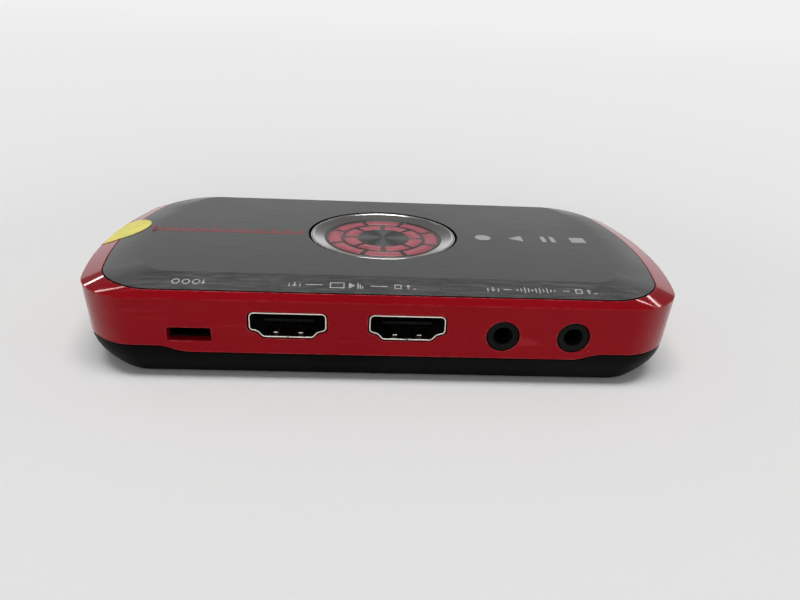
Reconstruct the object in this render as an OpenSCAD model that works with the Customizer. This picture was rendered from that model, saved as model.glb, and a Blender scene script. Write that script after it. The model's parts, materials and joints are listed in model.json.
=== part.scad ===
/* [Case] */
// Overall width along the socket side
body_w = 124; // [116:1:140]
// Overall depth from the socket side to the rear side
body_d = 67; // [62:1:80]
// Corner radius of the case in plan
corner_r = 9.6; // [9:0.1:14]
// Bow of the two ends, from their middle back to the corners
end_bow = 5.9; // [0:0.1:8]
// Height of the base tray up to the parting line at mid length
base_h = 5.15; // [4.8:0.05:6.5]
// Height of the upper shell's wall from the parting line to the rim
wall_h = 11.35; // [11:0.05:15]
// Thickness of the case walls
wall_t = 2; // [1.6:0.1:2.4]
// Inward lean of the wall from the rim down to the parting line
wall_draft = 0.7; // [0.2:0.1:1.2]
// Height of the bevel between the rim and the top plate
bevel_h = 1.35; // [1:0.05:2]
// Plan width of the bevel along the front and the rear
bevel_front = 1.6; // [1:0.1:3]
// Plan width of the bevel at the two ends
bevel_side = 4.2; // [3:0.1:6]
// Rise of the parting line towards the ends
parting_rise = 1.3; // [0.5:0.1:1.5]
// Distance from the ends of the case to the low middle stretch of the parting line
parting_inset = 23.7; // [20:0.1:30]
// Length along X over which the parting line rises
parting_run = 3.3; // [2:0.1:8]
// Gap that shows between the upper shell and the base
parting_gap = 0.15; // [0.1:0.05:0.3]

/* [Base tray] */
// Inset of the tray's bottom edge at the two ends
base_inset_side = 5.2; // [3:0.1:7]
// Inset of the tray's bottom edge at the front and the rear
base_inset_front = 3; // [2:0.1:4]
// Step from the upper shell's wall in to the tray's wall
base_step = 0.1; // [0:0.05:0.3]
// Thickness of the tray's floor
floor_t = 1.9; // [1.6:0.1:2.4]
// Thickness of the lip that stands behind the upper shell's wall
lip_t = 0.9; // [0.7:0.1:1.2]
// Height of the lip above the parting line
lip_h = 0.9; // [0.5:0.1:1]
// Clearance between the lip and the upper shell's wall
lip_clear = 0.15; // [0.1:0.05:0.3]
// Length of one cooling slot in the floor
vent_l = 6; // [4:0.5:8]
// Distance of the cooling slots' middle from the front and the rear
vent_inset = 12.5; // [11:0.5:14]
// Width of one cooling slot
vent_w = 1.4; // [1:0.1:1.8]
// Distance from one cooling slot to the next
vent_pitch = 3.2; // [2.6:0.1:4]
// Number of cooling slots
vent_count = 9; // [3:2:11]
// Depth of the bare label field in the floor
label_depth = 0.3; // [0.2:0.1:0.5]
// Length of the label field
label_w = 44; // [30:1:48]
// Width of the label field
label_d = 18; // [12:1:20]

/* [Top plate] */
// Thickness of the plate
plate_t = 1; // [0.8:0.1:1.3]
// Rise of the plate from its edge to its flat top
plate_rise = 1.45; // [1:0.05:2]
// Width of the sloping strip along the front and the rear
plate_slope_front = 5.3; // [4:0.1:8]
// Width of the sloping strip at the two ends
plate_slope_side = 7.5; // [5:0.1:9]
// Corner radius of the plate
plate_corner_r = 9.6; // [9:0.1:14]
// Gap between the plate's edge and the upper shell
plate_gap = 0.2; // [0.1:0.05:0.4]
// Flat land on top of the bevel, next to the plate
bevel_land = 0.15; // [0.1:0.05:0.3]
// Thickness of the tape under the plate
tape_t = 0.15; // [0.1:0.05:0.3]
// Distance from the tape's edge to the fold of the plate
tape_margin = 1; // [0.5:0.1:3]
// Thickness of the upper shell's deck under the plate
deck_t = 1.75; // [1.4:0.05:2]

/* [Button] */
// Radius of the button hole in plate and deck
button_hole_r = 16.9; // [16:0.1:18]
// Gap between the ring and the hole
button_gap = 0.4; // [0.3:0.05:0.6]
// Width of the dished ring
ring_w = 3.1; // [2.6:0.1:3.6]
// Depth of the dish from the ring's rim to the inlay
ring_dish = 0.55; // [0.3:0.05:0.8]
// Flat rim on the outside of the ring
ring_rim = 0.7; // [0.4:0.1:1]
// Chamfer on the ring's outer edge
ring_chamfer = 0.2; // [0.1:0.05:0.3]
// Depth of the ring's rim below the plate's flat top
ring_sink = 0.1; // [0:0.05:0.3]
// Thickness of the inlay disc
inlay_t = 0.6; // [0.4:0.05:0.8]
// Clearance between inlay, guide and ring
inlay_clear = 0.05; // [0.03:0.01:0.1]
// Thickness of the light guide below the inlay
guide_t = 0.6; // [0.4:0.05:0.8]
// Inner radius of the inner row of windows
window_r = 5.3; // [4.5:0.1:6]
// Radial width of the windows of the inner row
window_inner_w = 3.2; // [2:0.1:3.3]
// Radial width of the windows of the outer row
window_outer_w = 2.7; // [1.4:0.1:2.8]
// Width of the metal between the rows of windows
window_rib = 0.6; // [0.4:0.1:0.8]
// Width of the spokes between two windows
window_spoke = 0.8; // [0.6:0.1:1.4]
// Number of windows in one row
window_count = 8; // [5:1:12]
// Wall of the carrier below the ring
carrier_wall = 2; // [1.6:0.1:2.4]
// Overhang of the carrier's flange under the deck
flange_reach = 1.4; // [1:0.1:2]
// Thickness of the carrier's flange and spokes
flange_t = 1; // [0.8:0.1:1.4]
// Gap between the flange and the deck
flange_gap = 0.3; // [0.2:0.05:0.5]
// Width of the carrier's spokes
spoke_w = 3; // [2:0.1:4]
// Number of the carrier's spokes
spoke_count = 3; // [3:1:6]
// Radius of the hub where the spokes meet
hub_r = 3.4; // [3.2:0.1:4]
// Radius of the carrier's stem
stem_r = 2.2; // [1.8:0.1:3]
// Travel of the button
button_travel = 0.4; // [0.3:0.05:0.6]

/* [Tact switch] */
// Width and depth of the switch body
tact_w = 6.2; // [5:0.1:7]
// Height of the switch body
tact_h = 3.4; // [3:0.1:4]
// Radius of the plunger
tact_r = 1.72; // [1.4:0.01:1.9]
// Running clearance around the plunger
tact_clear = 0.08; // [0.05:0.01:0.1]
// Height of the plunger above the body
tact_proud = 0.7; // [0.65:0.05:1.2]
// Length of the plunger inside the body
tact_depth = 1.6; // [1.2:0.1:1.8]
// Gap between the plunger and the button's stem
tact_gap = 0.05; // [0.03:0.01:0.1]

/* [Board] */
// Thickness of the circuit board
board_t = 1.6; // [1.2:0.1:1.6]
// Height of the posts between the tray's floor and the board
post_h = 4.2; // [3.8:0.1:4.6]
// Distance from the board's edge to the rim of the case
board_inset = 4; // [3.9:0.1:5]
// Radius of the posts under the board
post_r = 2.6; // [2.2:0.1:3]

/* [Video sockets] */
// X of the input socket
video_in_x = -18.1; // [-22:0.1:-12]
// X of the output socket
video_out_x = 4.5; // [3:0.1:8]
// Height of the socket's middle above the board
video_rise = 3.7; // [3.4:0.1:4]
// Outer width of the metal shell
video_w = 14.5; // [14:0.1:15]
// Outer height of the metal shell
video_h = 5.05; // [4.8:0.05:5.4]
// Outer width of the shell's narrow lower side
video_foot = 9.4; // [8.5:0.1:10]
// Height of the shell's upright sides
video_side = 3.5; // [3.2:0.05:3.6]
// Inward run of the shoulder below the upright sides
video_shoulder_in = 1.65; // [1.2:0.05:1.8]
// Drop of the shoulder
video_shoulder_h = 0.45; // [0.3:0.05:0.6]
// Length of the metal shell
video_l = 11; // [10:0.1:12.5]
// Outer corner radius of the shell
video_r = 0.7; // [0.4:0.1:0.9]
// Width of the contact tongue
tongue_w = 10.6; // [9:0.1:11]
// Thickness of the contact tongue
tongue_t = 1.1; // [0.8:0.1:1.3]
// Height of the tongue above the socket's middle
tongue_up = 0.85; // [0.6:0.05:1]
// Distance of the tongue's tip from the mouth
tongue_back = 2.1; // [1.2:0.1:2.5]
// Distance from one contact of a row to the next
pin_pitch = 1; // [0.8:0.05:1]
// Number of contacts in the upper row
pin_count = 10; // [6:1:10]

/* [Socket metal] */
// Thickness of the sheet of the socket shells
sheet_t = 0.3; // [0.2:0.05:0.35]
// Clearance between the socket shells and their inserts
insert_clear = 0.05; // [0.03:0.01:0.1]
// Depth of the socket shells behind the outside of the wall
socket_recess = 0.2; // [0.1:0.05:0.6]
// Gap between the sockets and their openings in the wall
socket_gap = 0.18; // [0.1:0.02:0.4]
// Thickness of the inserts behind the socket shells
insert_back = 0.8; // [0.6:0.1:1.2]
// Depth of the insert's plug inside the shell
insert_plug = 2; // [1.5:0.1:3]
// Width of a solder leg along the socket
leg_w = 1.2; // [0.8:0.1:1.6]
// Length of the legs below the board
leg_below = 0.6; // [0.4:0.1:1]
// Clearance of the legs in the board
leg_clear = 0.2; // [0.1:0.05:0.3]
// Width of a contact
pin_w = 0.32; // [0.2:0.02:0.4]
// Thickness of a contact
pin_t = 0.08; // [0.06:0.01:0.12]

/* [Audio jacks] */
// Distance of the output jack from the end of the case
audio_inset = 25.4; // [24:0.1:28]
// Distance from the input jack to the output jack
audio_pitch = 13.7; // [12.5:0.1:14.5]
// Height of the jack's axis above the board
jack_rise = 2.45; // [2.4:0.05:2.8]
// Radius of the plug bore
jack_bore_r = 1.8; // [1.7:0.05:1.9]
// Depth of the plug bore
jack_bore_l = 13; // [12:0.5:14]
// Outer radius of the nose in the wall
jack_nose_r = 3.05; // [2.8:0.05:3.3]
// Gap between the nose and its hole in the wall
jack_gap = 0.15; // [0.1:0.05:0.4]
// Depth of the nose behind the outside of the wall
jack_recess = 0.15; // [0.1:0.05:0.5]
// Width of the jack's block
jack_w = 6.2; // [5.5:0.1:7]
// Height of the jack's block
jack_h = 5; // [4.8:0.1:5.6]
// Length of the jack's block
jack_l = 12; // [11:0.5:13]
// Distance of the block behind the inside of the wall
jack_back = 0.6; // [0.4:0.1:1]
// Width of a jack terminal
terminal_w = 1; // [0.8:0.1:1.2]
// Thickness of a jack terminal
terminal_t = 0.3; // [0.2:0.05:0.4]
// Height of a jack terminal
terminal_h = 2; // [1.5:0.1:2.4]

/* [AV socket] */
// Distance of the socket from the end of the case
av_inset = 25.4; // [24:0.1:28]
// Width of the opening in the wall
av_slot_w = 8.2; // [7.6:0.1:9]
// Height of the opening in the wall
av_slot_h = 2.6; // [2.4:0.1:3]
// Corner radius of the opening in the wall
av_slot_r = 0.35; // [0.2:0.05:0.6]
// Outer width of the socket shell
av_w = 7.8; // [7:0.1:8]
// Outer width of the shell's narrow upper side
av_foot = 6.4; // [5.5:0.1:7]
// Outer height of the socket shell
av_h = 2.6; // [2.4:0.1:2.9]
// Height of the shell's upright sides
av_side = 1.8; // [1.4:0.1:2]
// Length of the socket shell
av_l = 7.5; // [6.5:0.1:9]
// Distance of the socket shell behind the inside of the wall
av_back = 0.1; // [0.05:0.05:0.5]
// Outer corner radius of the shell
av_r = 0.4; // [0.2:0.05:0.5]
// Width of the contact tongue
av_tongue_w = 5.6; // [5.2:0.1:6]
// Thickness of the contact tongue
av_tongue_t = 0.6; // [0.4:0.05:0.8]
// Number of contacts
av_pins = 8; // [5:1:8]

/* [Data socket] */
// Distance of the socket on the rear side from the end of the case
data_inset = 31; // [26:0.1:33]
// Outer width of the socket shell
data_w = 7.7; // [7:0.1:8.4]
// Outer height of the socket shell
data_h = 3.95; // [3.6:0.05:4.2]
// Outer width of the shell's narrow lower side
data_foot = 6.2; // [5.6:0.1:6.6]
// Height of the shell's upright sides
data_side = 2.6; // [2:0.1:3]
// Length of the socket shell
data_l = 9.2; // [8.5:0.1:10]
// Outer corner radius of the shell
data_r = 0.45; // [0.3:0.05:0.6]
// Width of the contact tongue
data_tongue_w = 3.9; // [3.4:0.1:4.6]
// Number of contacts
data_pins = 5; // [4:1:5]

/* [Card slot] */
// X of the slot on the rear side
card_x = -24; // [-26:0.5:-22]
// Width of the card channel
card_w = 24.3; // [22:0.1:26]
// Height of the card channel
card_h = 2.3; // [1.6:0.1:2.6]
// Side walls of the card socket
card_wall = 1.1; // [0.8:0.1:1.4]
// Floor of the card socket
card_floor = 0.5; // [0.4:0.1:0.8]
// Length of the card socket
card_l = 26; // [22:0.5:27]
// End wall of the card channel
card_end = 1.5; // [1:0.1:2]
// Distance of the card socket behind the inside of the wall
card_back = 0.3; // [0.2:0.1:0.6]
// Thickness of the cover sheet
card_cover_t = 0.25; // [0.2:0.05:0.3]
// Gap around the card in the wall
card_gap = 0.2; // [0.1:0.05:0.4]
// Number of contacts
card_pins = 9; // [7:1:9]
// Distance from one contact to the next
card_pitch = 2.5; // [2:0.1:2.5]
// Length of a contact
card_pin_l = 6.5; // [4:0.5:8]
// Width of the two spring slots in the cover sheet
card_spring_w = 6; // [4:0.5:8]
// Length of the two spring slots
card_spring_l = 1.1; // [0.8:0.1:2]
// Distance of the spring slots from the mouth
card_spring_back = 18; // [10:0.5:20]

/* [Mode switch] */
// X of the switch on the rear side
mode_x = 9; // [6:0.1:14]
// Height of the switch body
mode_h = 3.6; // [3.4:0.1:4.2]
// Depth of the switch body
mode_d = 4; // [3.8:0.1:5]
// Wall of the switch body
mode_wall = 0.6; // [0.5:0.05:0.8]
// Travel to each side of the middle
mode_travel = 2; // [1:0.1:2.5]
// Width of the knob's base inside the body
mode_base_w = 3; // [2.4:0.1:4]
// Width of the knob's stem
mode_stem_w = 1.8; // [1.4:0.1:2.2]
// Height of the knob's stem
mode_stem_h = 1.4; // [1.2:0.1:1.8]
// Width of the finger tab
mode_tab_w = 2.4; // [2.2:0.1:3]
// Height of the finger tab
mode_tab_h = 1.6; // [1.5:0.1:1.9]
// Depth of the finger recess in the wall
mode_pocket = 1; // [0.8:0.05:1.2]
// Height of the finger recess in the wall
mode_pocket_h = 3.4; // [3:0.1:4]
// Height of the finger tab above the wall
mode_proud = 0.1; // [0:0.05:0.2]
// Gap around the knob
mode_gap = 0.3; // [0.2:0.05:0.4]

/* [Feet and screws] */
// Height of the feet below the tray
foot_proud = 0.7; // [0.5:0.1:1.2]
// Depth of the foot seats in the tray
foot_seat = 0.8; // [0.4:0.1:0.9]
// Radius of the feet
foot_r = 4; // [3:0.1:5]
// Clearance around the feet
foot_clear = 0.1; // [0.05:0.05:0.2]
// Distance of the feet from the ends of the case
foot_inset_x = 22; // [20:0.5:26]
// Distance of the feet from the front and the rear
foot_inset_y = 10.5; // [9.5:0.5:12]
// Distance of the case screws from the ends of the case
screw_inset_x = 13; // [12.5:0.5:15]
// Distance of the case screws from the front and the rear
screw_inset_y = 11.5; // [11:0.5:13]
// Radius of the case screws
screw_r = 1.2; // [1:0.05:1.25]
// Length of the case screws below the head
screw_l = 10.5; // [9:0.5:11]
// Head radius of the case screws
screw_head_r = 2.2; // [2:0.1:2.3]
// Head height of the case screws
screw_head_h = 1.2; // [1:0.1:1.5]
// Depth of the screw heads below the tray
screw_sink = 1.7; // [1.2:0.1:2]
// Clearance of the screws in their holes
screw_clear = 0.15; // [0.1:0.05:0.25]
// Clearance of the screws in their pilot holes
pilot_clear = 0.05; // [0.03:0.01:0.1]
// Wall around the screws in columns and bosses
boss_wall = 0.9; // [0.8:0.1:1.2]
// Distance of the board screws from the ends of the case
board_screw_inset = 13; // [12.5:0.5:15]
// Radius of the board screws
board_screw_r = 0.95; // [0.8:0.05:1.1]
// Length of the board screws below the head
board_screw_l = 4.8; // [4:0.1:5]
// Head radius of the board screws
board_head_r = 2; // [1.7:0.1:2.2]
// Head height of the board screws
board_head_h = 1.1; // [0.8:0.1:1.4]
// Radius of the driver recess in a screw head
drive_r = 1.1; // [0.8:0.05:1.2]
// Width of the driver recess
drive_w = 0.5; // [0.4:0.05:0.6]
// Depth of the driver recess
drive_depth = 0.6; // [0.4:0.05:0.8]

/* [Electronics] */
// Least gap between a chip and its neighbours
chip_gap = 0.6; // [0.4:0.1:1]
// Distance of the encoder chip's middle from the end of the case
encoder_inset = 35; // [34:0.5:36]
// Y of the encoder chip's middle
encoder_y = 3; // [2.5:0.1:3.5]
// Side of the encoder chip
encoder_w = 17; // [14:0.5:18]
// Height of the encoder chip
encoder_h = 1.3; // [1:0.1:1.6]
// Thickness of the thermal pad
pad_t = 0.5; // [0.3:0.1:0.8]
// Distance of the pad's edge from the encoder chip's edge
pad_margin = 1; // [0.5:0.1:2]
// Side of the heat spreader
spreader_w = 18; // [15:0.5:19]
// Thickness of the heat spreader's floor
spreader_t = 0.8; // [0.6:0.1:1]
// Height of the heat spreader's fins
fin_h = 2; // [1:0.1:2.4]
// Thickness of a fin
fin_t = 0.8; // [0.6:0.1:1]
// Number of fins
fin_count = 7; // [4:1:8]
// Side of the receiver chip
receiver_w = 10; // [8:0.5:11]
// Side of the transmitter chip
transmitter_w = 7; // [6:0.5:7]
// Side of the audio chip
audio_chip_w = 6; // [4:0.5:6.5]
// Height of the small chips
chip_h = 0.9; // [0.8:0.05:1.2]
// Distance of the memory chips' middle from the end of the case
memory_inset = 20; // [19:0.5:20.5]
// Y of the middle between the two memory chips
memory_y = 4; // [3:0.5:6]
// Width of a memory chip
memory_w = 8; // [7:0.5:8]
// Length of a memory chip
memory_l = 12.5; // [10:0.5:12.5]
// X of the flash chip's middle
flash_x = 11; // [9:0.5:12]
// Y of the flash chip's middle
flash_y = 15.5; // [15:0.5:16.5]
// Width of the flash chip
flash_w = 5.2; // [4:0.1:5.4]
// Height of the flash chip
flash_h = 1.9; // [1.5:0.1:2]
// Distance of the inductors' middle from the end of the case
inductor_inset = 13; // [12.5:0.5:13]
// Distance of the inductors' middle from the board's middle along Y
inductor_y = 10.2; // [9:0.1:11]
// Side of an inductor
inductor_w = 5; // [4:0.5:5]
// Height of an inductor
inductor_h = 3; // [2:0.1:3.5]
// Winding window radius of an inductor
inductor_r = 1.8; // [1.4:0.1:1.8]
// Distance of the filter capacitors' middle from the end of the case
capacitor_inset = 22; // [21:0.5:23]
// Y of the middle between the two filter capacitors
capacitor_y = -10; // [-10.5:0.5:-8]
// Radius of a filter capacitor
capacitor_r = 2.5; // [2:0.1:2.6]
// Height of a filter capacitor
capacitor_h = 5.4; // [4:0.1:5.6]
// Height of a filter capacitor's foot
capacitor_foot = 0.6; // [0.4:0.1:1]
// X of the video clock's crystal can
crystal_x = 13; // [12.5:0.5:14]
// Y of the video clock's crystal can
crystal_y = -10.5; // [-11:0.5:-9]
// Length of a crystal can
crystal_l = 5; // [3.2:0.1:5]
// Width of a crystal can
crystal_w = 3.2; // [2.5:0.1:3.2]
// Height of a crystal can
crystal_h = 1; // [0.7:0.1:1.2]
// Length of a chip capacitor
chip_cap_l = 1.6; // [1:0.1:1.6]
// Width of a chip capacitor
chip_cap_w = 0.8; // [0.5:0.1:0.8]
// Distance from one chip capacitor to the next
chip_cap_pitch = 2.4; // [2.2:0.1:2.6]
// Side of a status lamp
led_w = 2.8; // [2:0.1:3]
// Height of a status lamp
led_h = 1.9; // [1.2:0.1:2]
// Distance of the status lamps from the button's middle
led_r = 8.5; // [8:0.1:9]

/* [Hidden] */
$fn = 64;
corner_steps = 10;
end_steps = 10;
fillet_steps = 4;
parting_steps = 8;
tray_levels = 6;
over = 0.5;

half_w = body_w / 2;
half_d = body_d / 2;
parting_flat = half_w - parting_inset;
base_z = foot_proud;
floor_z = base_z + floor_t;
parting_z = base_z + base_h;
parting_top = parting_z + parting_rise;
rim_z = parting_z + wall_h;
plate_edge_z = rim_z + bevel_h;
plate_z = plate_edge_z + plate_rise;
deck_z = plate_z - plate_t - tape_t;
deck_edge_z = plate_edge_z - plate_t - tape_t;
roof_z = deck_z - deck_t;
board_z = floor_z + post_h + board_t;
board_low = board_z - board_t;
board_r = corner_r - board_inset;
inside_y = half_d - wall_t - wall_draft;
wall_cut = wall_t + wall_draft + over;
fold_x = bevel_side + plate_slope_side;
fold_y = bevel_front + plate_slope_front;
fold_r = plate_corner_r - plate_slope_front;

ring_r = button_hole_r - button_gap;
inlay_r = ring_r - ring_w;
ring_z = plate_z - ring_sink;
inlay_z = ring_z - ring_dish;
guide_z = inlay_z - inlay_t;
carrier_z = guide_z - guide_t;
flange_r = button_hole_r + flange_reach;
flange_z = roof_z - flange_gap;
plunger_z = board_z + tact_h + tact_proud;
outer_row_r = window_r + window_inner_w + window_rib;

audio_out_x = half_w - audio_inset;
audio_in_x = audio_out_x - audio_pitch;
av_x = av_inset - half_w;
data_x = half_w - data_inset;

video_z = board_z + video_rise;
jack_z = board_z + jack_rise;
av_z = board_z + av_h / 2;
data_z = board_z + data_h / 2;
card_z = board_z + card_floor + card_h / 2;
mode_z = board_z + mode_h / 2;
mode_body_w = mode_base_w + 2 * (mode_travel + mode_gap + mode_wall);
mode_slot_w = mode_stem_w + 2 * (mode_travel + mode_gap);
mode_pocket_w = mode_tab_w + 2 * (mode_travel + mode_gap);
screw_head_z = base_z + screw_sink;
screw_seat_z = screw_head_z + screw_head_h;
column_r = screw_head_r + screw_clear + boss_wall;
boss_r = screw_r + screw_clear + 2 * boss_wall;

// How far the sockets on the board reach in from the two sides
video_rear = wall_y(video_z) - socket_recess - video_l - insert_back;
jack_rear = inside_y - jack_back - jack_l;
card_rear = inside_y - card_back - card_l;

encoder_at = [half_w - encoder_inset, encoder_y];
receiver_at = [video_in_x, chip_gap + receiver_w / 2 - video_rear];
transmitter_at = [video_out_x, chip_gap + transmitter_w / 2 - video_rear];
audio_chip_at = [audio_out_x - audio_pitch / 2, chip_gap + audio_chip_w / 2 - jack_rear];
memory_at = [for (s = [-1, 1]) [half_w - memory_inset, memory_y + s * (memory_l + chip_gap) / 2]];
inductor_at = [for (s = [-1, 1]) [inductor_inset - half_w, s * inductor_y]];
capacitor_at = [for (s = [-1, 1])
    [capacitor_inset - half_w, capacitor_y + s * (capacitor_r + chip_gap / 2)]];
crystal_at = [[crystal_x, crystal_y], [audio_out_x, chip_gap + crystal_w / 2 - jack_rear]];
// Middle of each row of chip capacitors, and how many it has
chip_cap_rows = [
    [card_x, card_rear - chip_gap - chip_cap_w, 6],
    [0, led_r + chip_cap_w, 4],
    [crystal_x, crystal_y - crystal_w / 2 - chip_gap - chip_cap_w, 2],
    [half_w - memory_inset, memory_y + memory_l + 2 * chip_gap + chip_cap_w, 2]
];

// Places of the solder legs and of the jack terminals, as shares of the length behind the mouth
leg_at = [0.45, 0.75];
terminal_at = [0.35, 0.8];

video_outline = stepped_outline(video_w, video_h, video_foot, video_side,
    video_shoulder_in, video_shoulder_h);
av_outline = flipped(socket_outline(av_w, av_h, av_foot, av_side));
data_outline = socket_outline(data_w, data_h, data_foot, data_side);

// Inset of the upper shell's wall from the rim at height z
function wall_inset(z) = wall_draft * (rim_z - z) / wall_h;
// Y of the outside of the wall at height z, on the rear side
function wall_y(z) = half_d - wall_inset(z);
// Share of the tray's curve at height z, from 0 at its top edge to 1 at its bottom edge
function tray_share(z) = (parting_top - z) / (parting_top - base_z);
// Inset of the tray's wall at height z, for a bottom edge that is inset by low
function tray_inset(z, low) =
    let (top = wall_inset(parting_top) + base_step)
    top + (low - top) * pow(tray_share(z), 2);

// Point of an outline that reaches to y_far along Y, moved in along X by the bow of the ends
function bowed(x, y, y_far, z) = [x * (1 - end_bow / half_w * pow(y / y_far, 2)), y, z];
// Rounded rectangle with bowed ends at height z, inset from the rim by x_in and y_in
function ring(x_in, y_in, r, z) =
    let (x_mid = half_w - x_in - r, y_mid = half_d - y_in - r)
    [for (c = [0:3]) let (sx = c == 0 || c == 3 ? 1 : -1, sy = c < 2 ? 1 : -1) each concat(
        [for (k = [0:corner_steps]) let (a = 90 * (c + k / corner_steps))
            bowed(sx * x_mid + r * cos(a), sy * y_mid + r * sin(a), y_mid + r, z)],
        [for (k = [1:end_steps - 1]) if (c % 2 == 1)
            bowed(sx * (x_mid + r), sy * y_mid * (1 - 2 * k / end_steps), y_mid + r, z)]
    )];
function wall_ring(inset, z) = ring(inset, inset, corner_r - inset, z);
function plate_ring(grow, z) =
    ring(bevel_side - grow, bevel_front - grow, plate_corner_r + grow, z);
function fold_ring(z) = ring(fold_x, fold_y, fold_r, z);
function tray_ring(z, thick) =
    let (y_in = tray_inset(z, base_inset_front) + thick)
    ring(tray_inset(z, base_inset_side) + thick, y_in, corner_r - y_in, z);

function unit(v) = v / norm(v);
function outward(p, q) = let (d = unit(q - p)) [d[1], -d[0]];
function before(list, i) = list[(i + len(list) - 1) % len(list)];
function after(list, i) = list[(i + 1) % len(list)];
// Outline moved outwards by d
function grown(list, d) = [
    for (i = [0:len(list) - 1])
        let (m = outward(before(list, i), list[i]), n = outward(list[i], after(list, i)))
        list[i] + d * (m + n) / (1 + m * n)
];
// Arc of radius r in the corner v between p and q
function fillet(p, v, q, r) =
    let (
        a = unit(p - v),
        b = unit(q - v),
        half = acos(a * b) / 2,
        c = v + unit(a + b) * r / sin(half),
        s = v + a * r / tan(half) - c,
        e = v + b * r / tan(half) - c,
        from = atan2(s[1], s[0]),
        turn = (atan2(e[1], e[0]) - from + 540) % 360 - 180
    )
    [for (k = [0:fillet_steps]) c + r * [cos(from + turn * k / fillet_steps),
        sin(from + turn * k / fillet_steps)]];
function rounded(list, r) =
    [for (i = [0:len(list) - 1]) each fillet(before(list, i), list[i], after(list, i), r)];
// Outline of a socket with a wide upper side and a narrow foot
function socket_outline(w, h, foot, side) = [
    [-w / 2, h / 2 - side], [-foot / 2, -h / 2], [foot / 2, -h / 2],
    [w / 2, h / 2 - side], [w / 2, h / 2], [-w / 2, h / 2]
];
// The same with a shoulder between the upright sides and the foot
function stepped_outline(w, h, foot, side, run, drop) = [
    [-w / 2, h / 2 - side], [run - w / 2, h / 2 - side - drop], [-foot / 2, -h / 2],
    [foot / 2, -h / 2], [w / 2 - run, h / 2 - side - drop], [w / 2, h / 2 - side],
    [w / 2, h / 2], [-w / 2, h / 2]
];
function flipped(list) = [for (i = [len(list) - 1:-1:0]) [list[i][0], -list[i][1]]];
function box_outline(w, h) = [[-w / 2, -h / 2], [w / 2, -h / 2], [w / 2, h / 2], [-w / 2, h / 2]];

// Closed solid over a list of rings: a hoop joins its last ring to its first, and other solids
// have a flat cap on each of the two
module loft(rings, hoop = false) {
    n = len(rings[0]);
    m = len(rings);
    sides = [
        for (j = [0:hoop ? m - 1 : m - 2]) for (i = [0:n - 1])
            let (up = (j + 1) % m * n, a = j * n + i, k = (i + 1) % n)
            each [[a, up + i, up + k], [a, up + k, j * n + k]]
    ];
    caps = hoop ? [] : [[for (i = [0:n - 1]) i], [for (i = [n - 1:-1:0]) (m - 1) * n + i]];
    polyhedron([for (r = rings) each r], concat(sides, caps), convexity = 8);
}

// Places a socket with its mouth at z = 0 and its depth along -z in the front wall
module at_front(x, y, z) { translate([x, -y, z]) rotate([90, 0, 0]) children(); }
// The same in the rear wall
module at_rear(x, y, z) { translate([x, y, z]) rotate([90, 0, 180]) children(); }
module corners(x, y) { for (sx = [-1, 1], sy = [-1, 1]) translate([sx * x, sy * y, 0]) children(); }
module at_screws() { corners(half_w - screw_inset_x, half_d - screw_inset_y) children(); }
module at_feet() { corners(half_w - foot_inset_x, half_d - foot_inset_y) children(); }
module at_board_screws() {
    for (s = [-1, 1]) translate([s * (half_w - board_screw_inset), 0, 0]) children();
}
module slab(w, d, h) { translate([-w / 2, -d / 2, 0]) cube([w, d, h]); }
module prism(outline, from, to) { translate([0, 0, from]) linear_extrude(to - from) polygon(outline); }

// Everything below the parting line, moved up by lift
module below_parting(lift) {
    rise = [for (k = [0:parting_steps]) let (s = k / parting_steps)
        [parting_flat + parting_run * s, parting_z + lift + parting_rise * (1 - cos(180 * s)) / 2]];
    fall = [for (k = [parting_steps:-1:0]) [-rise[k][0], rise[k][1]]];
    far = half_w + over;
    outline = concat(
        fall, rise,
        [[far, parting_top + lift], [far, -over], [-far, -over], [-far, parting_top + lift]]
    );
    rotate([90, 0, 0]) linear_extrude(body_d + 2 * over, center = true) polygon(outline);
}

module top_shell() {
    color([0.55, 0.05, 0.08]) difference() {
        union() {
            difference() {
                loft([
                    fold_ring(roof_z),
                    ring(max(bevel_side, wall_t), bevel_front + wall_t, plate_corner_r - wall_t,
                        deck_edge_z - deck_t),
                    wall_ring(wall_t + wall_inset(parting_z), rim_z - wall_t),
                    wall_ring(wall_t + wall_inset(parting_z), parting_z),
                    wall_ring(wall_inset(parting_z), parting_z),
                    wall_ring(0, rim_z),
                    plate_ring(plate_gap + bevel_land, plate_edge_z),
                    plate_ring(plate_gap, plate_edge_z),
                    plate_ring(plate_gap, deck_edge_z),
                    fold_ring(deck_z)
                ]);
                below_parting(parting_gap / 2);
            }
            at_screws() translate([0, 0, board_z]) cylinder(r = boss_r, h = roof_z + over - board_z);
        }
        translate([0, 0, roof_z - over])
            cylinder(r = button_hole_r, h = deck_t + 2 * over);
        at_screws() translate([0, 0, board_z - over])
            cylinder(r = screw_r + pilot_clear, h = screw_seat_z + screw_l + 2 * over - board_z);
        wall_openings();
    }
}

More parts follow.
